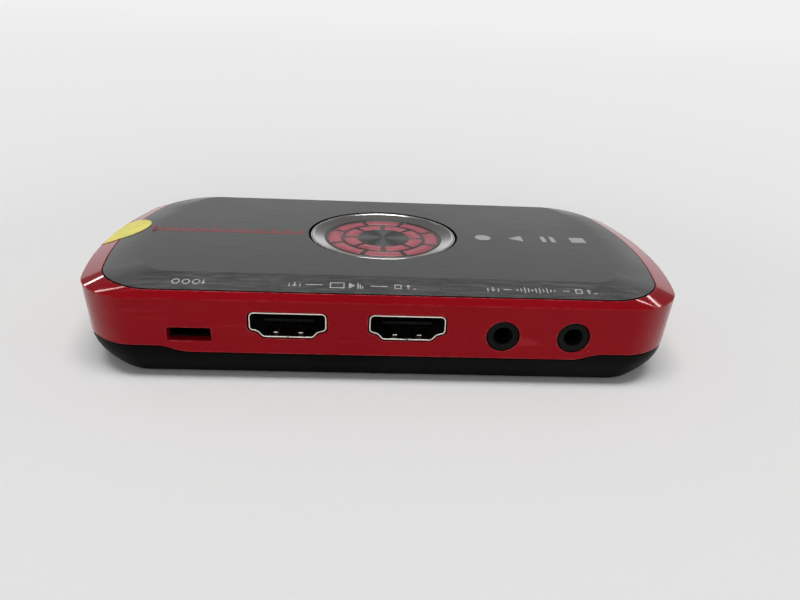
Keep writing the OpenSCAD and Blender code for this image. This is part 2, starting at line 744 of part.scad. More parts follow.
module wall_openings() {
    for (x = [video_in_x, video_out_x])
        at_front(x, half_d, video_z)
            prism(rounded(grown(video_outline, socket_gap), video_r + socket_gap), -wall_cut, over);
    for (x = [audio_in_x, audio_out_x])
        at_front(x, half_d, jack_z) translate([0, 0, -wall_cut])
            cylinder(r = jack_nose_r + jack_gap, h = wall_cut + over);
    at_front(av_x, half_d, av_z)
        prism(rounded(box_outline(av_slot_w, av_slot_h), av_slot_r), -wall_cut, over);
    at_rear(data_x, half_d, data_z)
        prism(rounded(grown(data_outline, socket_gap), data_r + socket_gap), -wall_cut, over);
    at_rear(card_x, half_d, card_z)
        prism(rounded(box_outline(card_w + 2 * card_gap, card_h + 2 * card_gap), card_gap),
            -wall_cut, over);
    at_rear(mode_x, wall_y(mode_z), mode_z) {
        prism(rounded(box_outline(mode_pocket_w, mode_pocket_h), mode_gap), -mode_pocket, 2 * over);
        prism(rounded(box_outline(mode_slot_w, mode_tab_h + 2 * mode_gap), mode_gap),
            -wall_cut, over);
    }
}

module base_shell() {
    tray = [for (k = [0:tray_levels]) base_z + (parting_top - base_z) * k / tray_levels];
    lip = wall_t + wall_inset(parting_z) + lip_clear;
    lip_z = (floor_z + parting_z) / 2;
    lip_top = parting_top + 2 * lip_h;
    color([0.07, 0.08, 0.075]) difference() {
        union() {
            intersection() {
                loft(concat(
                    [for (z = tray) tray_ring(z, 0)],
                    [for (k = [tray_levels:-1:0]) let (z = max(tray[k], floor_z))
                        if (k == 0 || tray[k] > floor_z + over) tray_ring(z, wall_t)]
                ));
                below_parting(-parting_gap / 2);
            }
            intersection() {
                loft([
                    wall_ring(lip + lip_t, lip_z), wall_ring(lip, lip_z),
                    wall_ring(lip, lip_top), wall_ring(lip + lip_t, lip_top)
                ], hoop = true);
                below_parting(lip_h);
            }
            at_screws() translate([0, 0, floor_z - over])
                cylinder(r = column_r, h = board_low - floor_z + over);
            at_board_screws() translate([0, 0, floor_z - over])
                cylinder(r = post_r, h = board_low - floor_z + over);
        }
        at_screws() {
            translate([0, 0, base_z - over])
                cylinder(r = screw_head_r + screw_clear, h = screw_seat_z - base_z + over);
            translate([0, 0, base_z]) cylinder(r = screw_r + screw_clear, h = board_z);
        }
        at_board_screws() translate([0, 0, board_z - board_screw_l - over])
            cylinder(r = board_screw_r + pilot_clear, h = board_screw_l);
        at_feet() translate([0, 0, base_z - over]) cylinder(r = foot_r + foot_clear, h = foot_seat + over);
        translate([0, 0, base_z - over]) slab(label_w, label_d, label_depth + over);
        for (k = [0:vent_count - 1], s = [-1, 1])
            translate([(k - (vent_count - 1) / 2) * vent_pitch, s * (half_d - vent_inset), base_z - over])
                slab(vent_w, vent_l, floor_t + 2 * over);
    }
}

module top_plate() {
    color([0.32, 0.33, 0.34]) difference() {
        loft([
            fold_ring(plate_z - plate_t), plate_ring(0, plate_edge_z - plate_t),
            plate_ring(0, plate_edge_z), fold_ring(plate_z)
        ]);
        translate([0, 0, deck_z]) cylinder(r = button_hole_r, h = plate_t + tape_t + over);
    }
}

module plate_adhesive() {
    color([0.9, 0.88, 0.8]) difference() {
        loft([for (z = [deck_z, deck_z + tape_t])
            ring(fold_x + tape_margin, fold_y + tape_margin, fold_r - tape_margin, z)]);
        translate([0, 0, deck_z - over]) cylinder(r = button_hole_r + tape_margin, h = tape_t + 2 * over);
    }
}

module rubber_feet() {
    color([0.1, 0.1, 0.1]) at_feet() cylinder(r = foot_r, h = foot_proud + foot_seat);
}

// Screw with its head's seat at z = 0 and its shank along +z
module screw(r, l, head_r, head_h) {
    difference() {
        union() {
            translate([0, 0, -head_h]) cylinder(r = head_r, h = head_h);
            cylinder(r = r, h = l);
        }
        for (a = [0, 90]) rotate([0, 0, a]) translate([0, 0, -head_h - over])
            slab(2 * drive_r, drive_w, drive_depth + over);
    }
}

module case_screws() {
    color([0.3, 0.3, 0.32]) at_screws() translate([0, 0, screw_seat_z])
        screw(screw_r, screw_l, screw_head_r, screw_head_h);
}

module board_screws() {
    color([0.75, 0.75, 0.72]) at_board_screws() translate([0, 0, board_z]) mirror([0, 0, 1])
        screw(board_screw_r, board_screw_l, board_head_r, board_head_h);
}

module button_ring() {
    color([0.8, 0.8, 0.8]) rotate_extrude() polygon([
        [inlay_r, carrier_z], [ring_r, carrier_z], [ring_r, ring_z - ring_chamfer],
        [ring_r - ring_chamfer, ring_z], [ring_r - ring_rim, ring_z], [inlay_r, inlay_z]
    ]);
}

// Both rows of windows, moved outwards by grow
module windows(grow, h) {
    for (row = [[window_r, window_inner_w], [outer_row_r, window_outer_w]]) difference() {
        cylinder(r = row[0] + row[1] + grow, h = h);
        translate([0, 0, -over]) cylinder(r = row[0] - grow, h = h + 2 * over);
        for (k = [0:window_count - 1])
            rotate([0, 0, 360 * (k + (row[0] == window_r ? 0 : 0.5)) / window_count])
                translate([0, -window_spoke / 2 + grow, -over])
                    cube([inlay_r, window_spoke - 2 * grow, h + 2 * over]);
    }
}

module button_inlay() {
    color([0.36, 0.37, 0.38]) translate([0, 0, guide_z]) difference() {
        cylinder(r = inlay_r - inlay_clear, h = inlay_t);
        translate([0, 0, -over]) windows(inlay_clear, inlay_t + 2 * over);
    }
}

module button_light_guide() {
    color([0.68, 0.3, 0.35]) translate([0, 0, carrier_z]) {
        cylinder(r = inlay_r - inlay_clear, h = guide_t);
        windows(0, guide_t + inlay_t - inlay_clear);
    }
}

module button_carrier() {
    spoke_z = flange_z - flange_t;
    inner_r = inlay_r - carrier_wall;
    color([0.08, 0.08, 0.08]) {
        difference() {
            union() {
                translate([0, 0, spoke_z]) cylinder(r = ring_r, h = carrier_z - spoke_z);
                translate([0, 0, spoke_z]) cylinder(r = flange_r, h = flange_t);
            }
            translate([0, 0, flange_z]) cylinder(r = inner_r, h = carrier_z - flange_z + over);
            translate([0, 0, spoke_z - over]) difference() {
                cylinder(r = inner_r, h = flange_t + 2 * over);
                translate([0, 0, -over]) cylinder(r = hub_r, h = flange_t + 4 * over);
                for (k = [0:spoke_count - 1]) rotate([0, 0, 360 * (k + 0.25) / spoke_count])
                    translate([0, -spoke_w / 2, -over]) cube([ring_r, spoke_w, flange_t + 4 * over]);
            }
        }
        translate([0, 0, plunger_z + tact_gap])
            cylinder(r = stem_r, h = flange_z - flange_t / 2 - plunger_z - tact_gap);
    }
}

module tact_switch_body() {
    color([0.15, 0.15, 0.16]) translate([0, 0, board_z]) difference() {
        slab(tact_w, tact_w, tact_h);
        translate([0, 0, tact_h - tact_depth - button_travel - tact_gap])
            cylinder(r = tact_r + tact_clear, h = tact_h);
    }
}

module tact_switch_plunger() {
    color([0.8, 0.78, 0.7]) translate([0, 0, plunger_z - tact_proud - tact_depth])
        cylinder(r = tact_r, h = tact_proud + tact_depth);
}

module status_leds() {
    color([0.95, 0.94, 0.88]) for (a = [45:90:315]) rotate([0, 0, a]) translate([led_r, 0, board_z])
        slab(led_w, led_w, led_h);
}

// Metal tube of a socket, mouth at z = 0
module socket_tube(outline, r, l) {
    difference() {
        prism(rounded(outline, r), -l, 0);
        prism(rounded(grown(outline, -sheet_t), r - sheet_t / 2), -l - over, over);
    }
}

// Solder legs at both sides of a socket: w is its width, low and high are measured from its middle
module socket_legs(w, l, low, high, grow) {
    for (s = [-1, 1], at = leg_at)
        translate([s * (w - sheet_t) / 2, (low + high) / 2, -l * at])
            cube([sheet_t + 2 * grow, high - low, leg_w + 2 * grow], center = true);
}

// Insert of a socket: plug in the back of the tube, and back wall on the board
module socket_block(outline, r, l, w, low, high) {
    prism(rounded(grown(outline, -sheet_t - insert_clear), r - sheet_t / 2), -l - over / 2, -l + insert_plug);
    translate([-w / 2, low, -l - insert_back]) cube([w, high - low, insert_back - insert_clear]);
}

module tongue(w, t, up, l, back) {
    translate([-w / 2, up - t / 2, -l]) cube([w, t, l - back]);
}

// Row of contacts on one face of a tongue
module pin_row(count, pitch, y, from, to) {
    for (k = [0:count - 1])
        translate([(k - (count - 1) / 2) * pitch - pin_w / 2, y, from]) cube([pin_w, pin_t, to - from]);
}

module video_at(x) { at_front(x, wall_y(video_z) - socket_recess, video_z) children(); }
module video_legs(grow) { socket_legs(video_w, video_l, -video_rise - board_t - leg_below, 0, grow); }
module video_shell(x) {
    color([0.72, 0.7, 0.65]) video_at(x) {
        socket_tube(video_outline, video_r, video_l);
        video_legs(0);
    }
}
module video_insert(x) {
    color([0.05, 0.05, 0.05]) video_at(x) {
        socket_block(video_outline, video_r, video_l, video_w, -video_rise, video_h / 2);
        translate([-video_foot / 2, -video_rise, -video_l - insert_back])
            cube([video_foot, video_rise - video_h / 2 - insert_clear, video_l / 2]);
        tongue(tongue_w, tongue_t, tongue_up, video_l, tongue_back);
    }
}
module video_contacts(x) {
    tip = -tongue_back - over;
    color([0.85, 0.68, 0.3]) video_at(x) {
        pin_row(pin_count, pin_pitch, tongue_up + tongue_t / 2, -video_l + insert_plug, tip);
        pin_row(pin_count - 1, pin_pitch, tongue_up - tongue_t / 2 - pin_t, -video_l + insert_plug, tip);
    }
}
module video_in_shell() { video_shell(video_in_x); }
module video_in_insert() { video_insert(video_in_x); }
module video_in_contacts() { video_contacts(video_in_x); }
module video_out_shell() { video_shell(video_out_x); }
module video_out_insert() { video_insert(video_out_x); }
module video_out_contacts() { video_contacts(video_out_x); }

module av_at() { at_front(av_x, inside_y - av_back, av_z) children(); }
module av_in_shell() {
    color([0.2, 0.2, 0.2]) av_at() socket_tube(av_outline, av_r, av_l);
}
module av_in_insert() {
    color([0.04, 0.04, 0.04]) av_at() {
        socket_block(av_outline, av_r, av_l, av_w, -av_h / 2, av_h / 2);
        tongue(av_tongue_w, av_tongue_t, 0, av_l, tongue_back);
    }
}
module av_in_contacts() {
    color([0.85, 0.68, 0.3]) av_at()
        pin_row(av_pins, 2 * pin_w, -av_tongue_t / 2 - pin_t, -av_l + insert_plug, -tongue_back - over);
}

module data_at() { at_rear(data_x, wall_y(data_z) - socket_recess, data_z) children(); }
module data_legs(grow) { socket_legs(data_w, data_l, -data_h / 2 - board_t - leg_below, 0, grow); }
module data_shell() {
    color([0.72, 0.7, 0.65]) data_at() {
        socket_tube(data_outline, data_r, data_l);
        data_legs(0);
    }
}
module data_insert() {
    color([0.05, 0.05, 0.05]) data_at() {
        socket_block(data_outline, data_r, data_l, data_w, -data_h / 2, data_h / 2);
        tongue(data_tongue_w, tongue_t, 0, data_l, tongue_back);
    }
}
module data_contacts() {
    color([0.85, 0.68, 0.3]) data_at()
        pin_row(data_pins, 2 * pin_w, -tongue_t / 2 - pin_t, -data_l + insert_plug, -tongue_back - over);
}

module jack_at(x) { at_front(x, wall_y(jack_z) - jack_recess, jack_z) children(); }
function jack_front() = wall_y(jack_z) - jack_recess - inside_y + jack_back;
module jack(x) {
    front = jack_front();
    color([0.12, 0.12, 0.11]) jack_at(x) difference() {
        union() {
            translate([0, 0, -front - over]) cylinder(r = jack_nose_r, h = front + over);
            translate([-jack_w / 2, -jack_rise, -front - jack_l]) cube([jack_w, jack_h, jack_l]);
        }
        translate([0, 0, -jack_bore_l]) cylinder(r = jack_bore_r, h = jack_bore_l + over);
    }
}
module jack_terminals(x) {
    front = jack_front();
    color([0.8, 0.8, 0.78]) jack_at(x) for (s = [-1, 1], at = terminal_at)
        translate([s * (jack_w + terminal_t) / 2 - terminal_t / 2, -jack_rise, -front - jack_l * at])
            cube([terminal_t, terminal_h, terminal_w]);
}
module audio_in_jack() { jack(audio_in_x); }
module audio_in_terminals() { jack_terminals(audio_in_x); }
module audio_out_jack() { jack(audio_out_x); }
module audio_out_terminals() { jack_terminals(audio_out_x); }

module card_at() { at_rear(card_x, inside_y - card_back, card_z) children(); }
module card_socket_base() {
    w = card_w + 2 * card_wall;
    color([0.06, 0.06, 0.06]) card_at() difference() {
        translate([-w / 2, -card_h / 2 - card_floor, -card_l]) cube([w, card_h + card_floor, card_l]);
        translate([-card_w / 2, -card_h / 2, -card_l + card_end]) cube([card_w, card_h + over, card_l]);
    }
}
module card_socket_cover() {
    w = card_w + 2 * card_wall;
    color([0.75, 0.75, 0.74]) card_at() difference() {
        translate([-w / 2, card_h / 2, -card_l]) cube([w, card_cover_t, card_l]);
        for (s = [-1, 1])
            translate([s * card_spring_w - card_spring_w / 2, card_h / 2 - over, -card_spring_back])
                cube([card_spring_w, card_cover_t + 2 * over, card_spring_l]);
    }
}
module card_socket_contacts() {
    color([0.85, 0.68, 0.3]) card_at() for (k = [0:card_pins - 1])
        translate([(k - (card_pins - 1) / 2) * card_pitch - pin_w, -card_h / 2, -card_l + card_end])
            cube([2 * pin_w, pin_t, card_pin_l]);
}

module mode_at() { at_rear(mode_x, wall_y(mode_z), mode_z) children(); }
function mode_front() = inside_y - wall_y(mode_z) - mode_gap;
module mode_switch_body() {
    front = mode_front();
    inner = mode_body_w - 2 * mode_wall;
    color([0.7, 0.7, 0.68]) mode_at() difference() {
        translate([-mode_body_w / 2, -mode_h / 2, front - mode_d]) cube([mode_body_w, mode_h, mode_d]);
        translate([-inner / 2, -mode_h / 2 + mode_wall, front - mode_d + mode_wall])
            cube([inner, mode_h - 2 * mode_wall, mode_d - 2 * mode_wall]);
        translate([-mode_slot_w / 2, -mode_stem_h / 2 - mode_gap, front - 2 * mode_wall])
            cube([mode_slot_w, mode_stem_h + 2 * mode_gap, 2 * mode_wall + over]);
    }
}
module mode_switch_knob() {
    front = mode_front();
    block_h = mode_h - 2 * (mode_wall + mode_gap);
    block_d = mode_d - 2 * (mode_wall + mode_gap);
    color([0.08, 0.08, 0.08]) mode_at() {
        translate([-mode_base_w / 2, -block_h / 2, front - mode_d + mode_wall + mode_gap])
            cube([mode_base_w, block_h, block_d]);
        translate([-mode_stem_w / 2, -mode_stem_h / 2, front - mode_d / 2])
            cube([mode_stem_w, mode_stem_h, mode_d / 2 - front - mode_pocket + mode_gap]);
        translate([-mode_tab_w / 2, -mode_tab_h / 2, -mode_pocket + mode_gap / 2])
            cube([mode_tab_w, mode_tab_h, mode_pocket - mode_gap / 2 + mode_proud]);
    }
}

module main_board() {
    color([0.05, 0.25, 0.12]) difference() {
        loft([for (z = [board_low, board_z]) ring(board_inset, board_inset, board_r, z)]);
        at_screws() translate([0, 0, board_low - over])
            cylinder(r = screw_r + screw_clear, h = board_t + 2 * over);
        at_board_screws() translate([0, 0, board_low - over])
            cylinder(r = board_screw_r + screw_clear, h = board_t + 2 * over);
        for (x = [video_in_x, video_out_x]) video_at(x) video_legs(leg_clear);
        data_at() data_legs(leg_clear);
    }
}

module chip(at, w, d, h) { color([0.1, 0.1, 0.11]) translate([at[0], at[1], board_z]) slab(w, d, h); }
module encoder_chip() { chip(encoder_at, encoder_w, encoder_w, encoder_h); }
module thermal_pad() {
    color([0.6, 0.65, 0.75]) translate([encoder_at[0], encoder_at[1], board_z + encoder_h])
        slab(encoder_w - 2 * pad_margin, encoder_w - 2 * pad_margin, pad_t);
}
module heat_spreader() {
    pitch = (spreader_w - fin_t) / (fin_count - 1);
    color([0.75, 0.76, 0.78]) translate([encoder_at[0], encoder_at[1], board_z + encoder_h + pad_t]) {
        slab(spreader_w, spreader_w, spreader_t);
        for (k = [0:fin_count - 1]) translate([0, (k - (fin_count - 1) / 2) * pitch, 0])
            slab(spreader_w, fin_t, spreader_t + fin_h);
    }
}
module receiver_chip() { chip(receiver_at, receiver_w, receiver_w, chip_h); }
module transmitter_chip() { chip(transmitter_at, transmitter_w, transmitter_w, chip_h); }
module audio_chip() { chip(audio_chip_at, audio_chip_w, audio_chip_w, chip_h); }
module memory_chips() {
    color([0.1, 0.1, 0.11]) for (p = memory_at)
        translate([p[0], p[1], board_z]) slab(memory_w, memory_l, chip_h);
}
module flash_chip() { chip([flash_x, flash_y], flash_w, flash_w, flash_h); }
module power_inductors() {
    color([0.25, 0.24, 0.23]) for (p = inductor_at) translate([p[0], p[1], board_z]) difference() {
        slab(inductor_w, inductor_w, inductor_h);
        translate([0, 0, inductor_h - chip_h]) cylinder(r = inductor_r, h = inductor_h);
    }
}
module filter_capacitors() {
    color([0.78, 0.79, 0.8]) for (p = capacitor_at) translate([p[0], p[1], board_z]) {
        slab(2 * capacitor_r, 2 * capacitor_r, capacitor_foot);
        cylinder(r = capacitor_r, h = capacitor_h);
    }
}
module crystal_cans() {
    color([0.8, 0.8, 0.8]) for (p = crystal_at) translate([p[0], p[1], board_z])
        slab(crystal_l, crystal_w, crystal_h);
}
module chip_capacitors() {
    color([0.7, 0.6, 0.48]) for (row = chip_cap_rows) for (k = [0:row[2] - 1])
        translate([row[0] + (k - (row[2] - 1) / 2) * chip_cap_pitch, row[1], board_z])
            slab(chip_cap_l, chip_cap_w, chip_cap_w);
}

top_shell();
base_shell();
top_plate();
plate_adhesive();
rubber_feet();
case_screws();
button_ring();
button_inlay();
button_light_guide();
button_carrier();
tact_switch_body();
tact_switch_plunger();
status_leds();
video_in_shell();
video_in_insert();
video_in_contacts();
video_out_shell();
video_out_insert();
video_out_contacts();
av_in_shell();
av_in_insert();
av_in_contacts();
audio_in_jack();
audio_in_terminals();
audio_out_jack();
audio_out_terminals();
data_shell();
data_insert();
data_contacts();
card_socket_base();
card_socket_cover();
card_socket_contacts();
mode_switch_body();
mode_switch_knob();
main_board();
board_screws();
encoder_chip();
thermal_pad();
heat_spreader();
receiver_chip();
transmitter_chip();
audio_chip();
memory_chips();
flash_chip();
power_inductors();
filter_capacitors();
crystal_cans();
chip_capacitors();
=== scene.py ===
import json
import math

import bmesh
import bpy
from mathutils import Matrix, Vector


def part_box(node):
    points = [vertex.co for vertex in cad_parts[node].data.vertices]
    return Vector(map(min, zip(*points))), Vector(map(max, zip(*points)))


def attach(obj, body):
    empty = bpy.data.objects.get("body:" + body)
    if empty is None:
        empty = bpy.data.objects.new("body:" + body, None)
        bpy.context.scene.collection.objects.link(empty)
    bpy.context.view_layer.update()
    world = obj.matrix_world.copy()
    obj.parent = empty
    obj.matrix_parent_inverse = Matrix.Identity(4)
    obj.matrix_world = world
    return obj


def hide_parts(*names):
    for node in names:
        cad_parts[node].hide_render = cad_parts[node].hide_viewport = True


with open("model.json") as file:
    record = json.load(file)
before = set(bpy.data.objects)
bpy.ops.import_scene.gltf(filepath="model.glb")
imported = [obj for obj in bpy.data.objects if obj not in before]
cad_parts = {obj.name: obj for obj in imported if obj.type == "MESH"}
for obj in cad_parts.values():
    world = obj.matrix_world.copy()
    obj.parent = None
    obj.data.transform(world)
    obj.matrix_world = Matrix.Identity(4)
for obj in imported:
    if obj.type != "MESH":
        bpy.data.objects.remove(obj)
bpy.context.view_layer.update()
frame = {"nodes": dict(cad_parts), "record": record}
nodes = frame["nodes"]
scene = bpy.context.scene
scene.view_settings.view_transform = "Standard"
mm = 0.001  # meshes are drawn in millimetres, then brought to metres
print("frame loaded:", len(nodes), "nodes")

cameraView = {
    "place": (-3.217, -145.882, 67.733),
    "yaw": 0.05341,
    "pitch": 0.41499,
    "roll": 0.04665,
    "lens": 29.888,
    "sensor": 36.0,
    "clip": (0.005, 50.0),  # metres
}


def makeCamera():
    yaw, pitch, roll = cameraView["yaw"], cameraView["pitch"], cameraView["roll"]
    ahead = Vector((math.sin(yaw) * math.cos(pitch), math.cos(yaw) * math.cos(pitch), -math.sin(pitch)))
    level = Vector((math.cos(yaw), -math.sin(yaw), 0))
    upright = level.cross(ahead)
    right = math.cos(roll) * level + math.sin(roll) * upright
    top = math.cos(roll) * upright - math.sin(roll) * level
    lens = bpy.data.cameras.new("photoView")
    lens.sensor_fit = "HORIZONTAL"
    lens.sensor_width = cameraView["sensor"]
    lens.lens = cameraView["lens"]
    lens.clip_start, lens.clip_end = cameraView["clip"]
    camera = bpy.data.objects.new("photoView", lens)
    scene.collection.objects.link(camera)
    turn = Matrix((right, top, -ahead)).transposed().to_4x4()
    camera.matrix_world = Matrix.Translation(Vector(cameraView["place"]) * mm) @ turn
    scene.camera = camera


makeCamera()


def linkMesh(name, bm):
    mesh = bpy.data.meshes.new(name)
    bm.to_mesh(mesh)
    bm.free()
    made = bpy.data.objects.new(name, mesh)
    scene.collection.objects.link(made)
    return made


def put(tree, kind, inputs=None, **settings):
    made = tree.nodes.new("ShaderNode" + kind)
    for key, value in settings.items():
        setattr(made, key, value)
    for key, value in (inputs or {}).items():
        if isinstance(value, bpy.types.NodeSocket):
            tree.links.new(value, made.inputs[key])
        else:
            made.inputs[key].default_value = value
    return made


def maths(tree, operation, first, second):
    return put(tree, "Math", {0: first, 1: second}, operation=operation).outputs[0]


def vectors(tree, operation, first, second=(0, 0, 0), result="Vector"):
    return put(tree, "VectorMath", {0: first, 1: second}, operation=operation).outputs[result]


def remap(tree, value, lowIn, highIn, lowOut=0.0, highOut=1.0):
    return put(tree, "MapRange", {0: value, 1: lowIn, 2: highIn, 3: lowOut, 4: highOut}).outputs[0]


def mixColour(tree, share, first, second):
    return put(tree, "Mix", {0: share, 6: first, 7: second}, data_type="RGBA").outputs[2]


def here(tree):
    return put(tree, "TexCoord").outputs["Object"]


def noise(tree, where, scale, detail, rough=0.5):
    made = put(tree, "TexNoise", {"Vector": where, "Scale": scale, "Detail": detail, "Roughness": rough})
    return made.outputs["Fac"]


def rgba(colour):
    return (*colour, 1.0)


studio = {
    "skyStops": (  # sine of the height above the horizon, and brightness
        (0.0, 0.92), (0.262, 0.92), (0.282, 0.26), (0.37, 0.20), (0.75, 0.13), (1.0, 0.18),
    ),
    "skyBlue": 1.01,
    "floorColour": (0.88, 0.88, 0.875),
    "floorDim": 0.97,  # share of the floor's colour that its darker patches keep
    "floorPatches": 6.0,  # scale of these patches
    "floorGrain": 900.0,
    "floorBump": (0.15, 0.0004),  # strength and depth of the grain
    "floorRough": 0.9,
    "floorGloss": 0.15,
    "floorSize": 12.0,
    "floorDrop": 0.00005,  # a hair below the feet
    "paleFrom": 0.12,  # distance from the middle where the floor starts to pale into the backdrop
    "paleGain": 1.03,  # keeps the floor's far edge from showing
    "pale": (0.875, 0.875, 0.875),
    "boxes": {  # place, aim, size and watts
        "topBox": ((0.0, -0.22, 1.60), (0.0, 0.0, 0.0), (1.20, 0.44), 16.6),
        "frontBox": ((0.15, -1.30, 0.80), (0.0, 0.0, 0.0), (1.00, 0.70), 2.8),
    },
    "stripHeight": 0.5,
    "stripAim": (0.0, 0.0, 0.015),
    "stripBright": 13.0,
    "strips": {  # the two ends in heights from the middle of the case, and the width
        "cornerStrip": ((-1.475, 1.48), (-1.474, 1.78), 0.026),
        "leftStrip": ((-1.03, 0.755), (-0.82, 0.525), 0.009),
        "rightStrip": ((1.26, 1.15), (1.07, 0.69), 0.010),
        "shortStrip": ((0.915, 0.555), (0.985, 0.605), 0.022),
    },
}


def makeWorld():
    world = bpy.data.worlds.new("paleRoom")
    scene.world = world
    world.use_nodes = True
    tree = world.node_tree
    tree.nodes.clear()
    way = put(tree, "TexCoord")
    height = put(tree, "SeparateXYZ", {0: way.outputs["Generated"]}).outputs["Z"]
    sky = put(tree, "ValToRGB", {0: height})
    ramp = sky.color_ramp
    stops = studio["skyStops"]
    while len(ramp.elements) < len(stops):
        ramp.elements.new(0.5)
    for element, (place, bright) in zip(ramp.elements, stops):
        element.position = place
        element.color = (bright, bright, bright * studio["skyBlue"], 1)
    seen = put(tree, "LightPath").outputs["Is Camera Ray"]
    colour = mixColour(tree, seen, sky.outputs[0], rgba(studio["pale"]))
    light = put(tree, "Background", {"Color": colour, "Strength": 1.0})
    put(tree, "OutputWorld", {"Surface": light.outputs[0]})


def areaLamp(name, place, aim, along, sizeX, sizeY, watts):
    lamp = bpy.data.lights.new(name, "AREA")
    lamp.shape = "RECTANGLE"
    lamp.size, lamp.size_y = sizeX, sizeY
    lamp.energy = watts
    holder = bpy.data.objects.new(name, lamp)
    scene.collection.objects.link(holder)
    back = (Vector(place) - Vector(aim)).normalized()
    side = Vector(along) - Vector(along).dot(back) * back
    side.normalize()
    turn = Matrix((side, back.cross(side), back)).transposed().to_4x4()
    holder.matrix_world = Matrix.Translation(place) @ turn


def makeLights():
    for name, (spot, aim, size, watts) in studio["boxes"].items():
        areaLamp(name, spot, aim, (1, 0, 0), *size, watts)
    rise = studio["stripHeight"]
    for name, (*ends, width) in studio["strips"].items():
        start, stop = (Vector((x * rise, y * rise, rise)) for x, y in ends)
        length = (stop - start).length
        watts = studio["stripBright"] * math.pi * length * width
        areaLamp(name, (start + stop) / 2, studio["stripAim"], stop - start, length, width, watts)


def makeFloor():
    look = studio
    bm = bmesh.new()
    bmesh.ops.create_grid(bm, x_segments=1, y_segments=1, size=look["floorSize"] / 2)
    bmesh.ops.translate(bm, verts=bm.verts, vec=(0, 0, -look["floorDrop"]))
    material = bpy.data.materials.new("paleFloor")
    material.use_nodes = True
    tree = material.node_tree
    shader = tree.nodes["Principled BSDF"]
    where = here(tree)
    dim = [look["floorDim"] * part for part in look["floorColour"]]
    patches = noise(tree, where, look["floorPatches"], 2.0)
    colour = mixColour(tree, patches, rgba(dim), rgba(look["floorColour"]))
    tree.links.new(colour, shader.inputs["Base Color"])
    strength, depth = look["floorBump"]
    grain = noise(tree, where, look["floorGrain"], 2.0)
    bump = put(tree, "Bump", {"Height": grain, "Strength": strength, "Distance": depth})
    tree.links.new(bump.outputs[0], shader.inputs["Normal"])
    shader.inputs["Roughness"].default_value = look["floorRough"]
    shader.inputs["Specular IOR Level"].default_value = look["floorGloss"]
    nearness = maths(tree, "DIVIDE", look["paleFrom"], vectors(tree, "LENGTH", where, result="Value"))
    fade = maths(tree, "SUBTRACT", 1.0, maths(tree, "MINIMUM", nearness, 1.0))
    fade = maths(tree, "MINIMUM", maths(tree, "MULTIPLY", fade, look["paleGain"]), 1.0)
    path = put(tree, "LightPath").outputs
    seen = maths(tree, "MAXIMUM", path["Is Camera Ray"], path["Is Glossy Ray"])
    seen = maths(tree, "MAXIMUM", seen, path["Is Transmission Ray"])
    glow = put(tree, "Emission", {"Color": rgba(look["pale"]), "Strength": 1.0})
    share = maths(tree, "MULTIPLY", fade, seen)
    both = put(tree, "MixShader", {0: share, 1: shader.outputs[0], 2: glow.outputs[0]})
    tree.links.new(both.outputs[0], tree.nodes["Material Output"].inputs["Surface"])
    floor = linkMesh("paleFloor", bm)
    floor.data.materials.append(material)


makeWorld()
makeLights()
makeFloor()
print("camera, floor and light set")

evenSpan = (0.3, 0.7)  # where a noise starts and ends to count, for an even spread


def newGroup(name, inputs, outputs):
    tree = bpy.data.node_groups.new(name, "ShaderNodeTree")
    for label, value in inputs.items():
        socket = tree.interface.new_socket(label, in_out="INPUT", socket_type="NodeSocketFloat")
        socket.default_value = value
    for label in outputs:
        tree.interface.new_socket(label, in_out="OUTPUT", socket_type="NodeSocketFloat")
    return tree, tree.nodes.new("NodeGroupInput").outputs, tree.nodes.new("NodeGroupOutput").inputs


def makeMouldGrain():
    tree, given, result = newGroup("mouldGrain", {"fine": 2500.0, "cloud": 60.0}, ("Height", "Tone"))
    where = here(tree)
    tree.links.new(noise(tree, where, given["fine"], 2.0), result["Height"])
    cloud = noise(tree, where, given["cloud"], 3.0)
    tree.links.new(remap(tree, cloud, *evenSpan), result["Tone"])
    return tree


def makeHairLines():
    tree, given, result = newGroup("hairLines", {"along": 30.0, "across": 6000.0}, ("Streak", "Height"))
    along, across = given["along"], given["across"]
    stretch = put(tree, "CombineXYZ", {0: along, 1: across, 2: along}).outputs[0]
    drawn = vectors(tree, "MULTIPLY", here(tree), stretch)
    tree.links.new(remap(tree, noise(tree, drawn, 0.35, 3.0), *evenSpan), result["Streak"])
    tree.links.new(noise(tree, drawn, 1.0, 4.0), result["Height"])
    return tree


markLook = {
    "scratches": (  # turn and stretch of each set of scratches
        (0.5, (40.0, 2600.0, 400.0)), (-0.9, (60.0, 3100.0, 500.0)), (1.9, (50.0, 2200.0, 450.0)),
    ),
    "tilt": (0.2, 0.3),
    "scratchSpan": (0.74, 0.80),  # where its noise starts and ends to count
    "speckScale": 900.0,
    "speckShare": 0.20,  # share of the cells that hold a speck
    "speckSize": 0.16,
    "filmScale": 35.0,
    "filmSpan": (0.4, 0.75),
    "patchScale": 90.0,  # scratches come in patches
    "patchSpan": (0.45, 0.65),
}


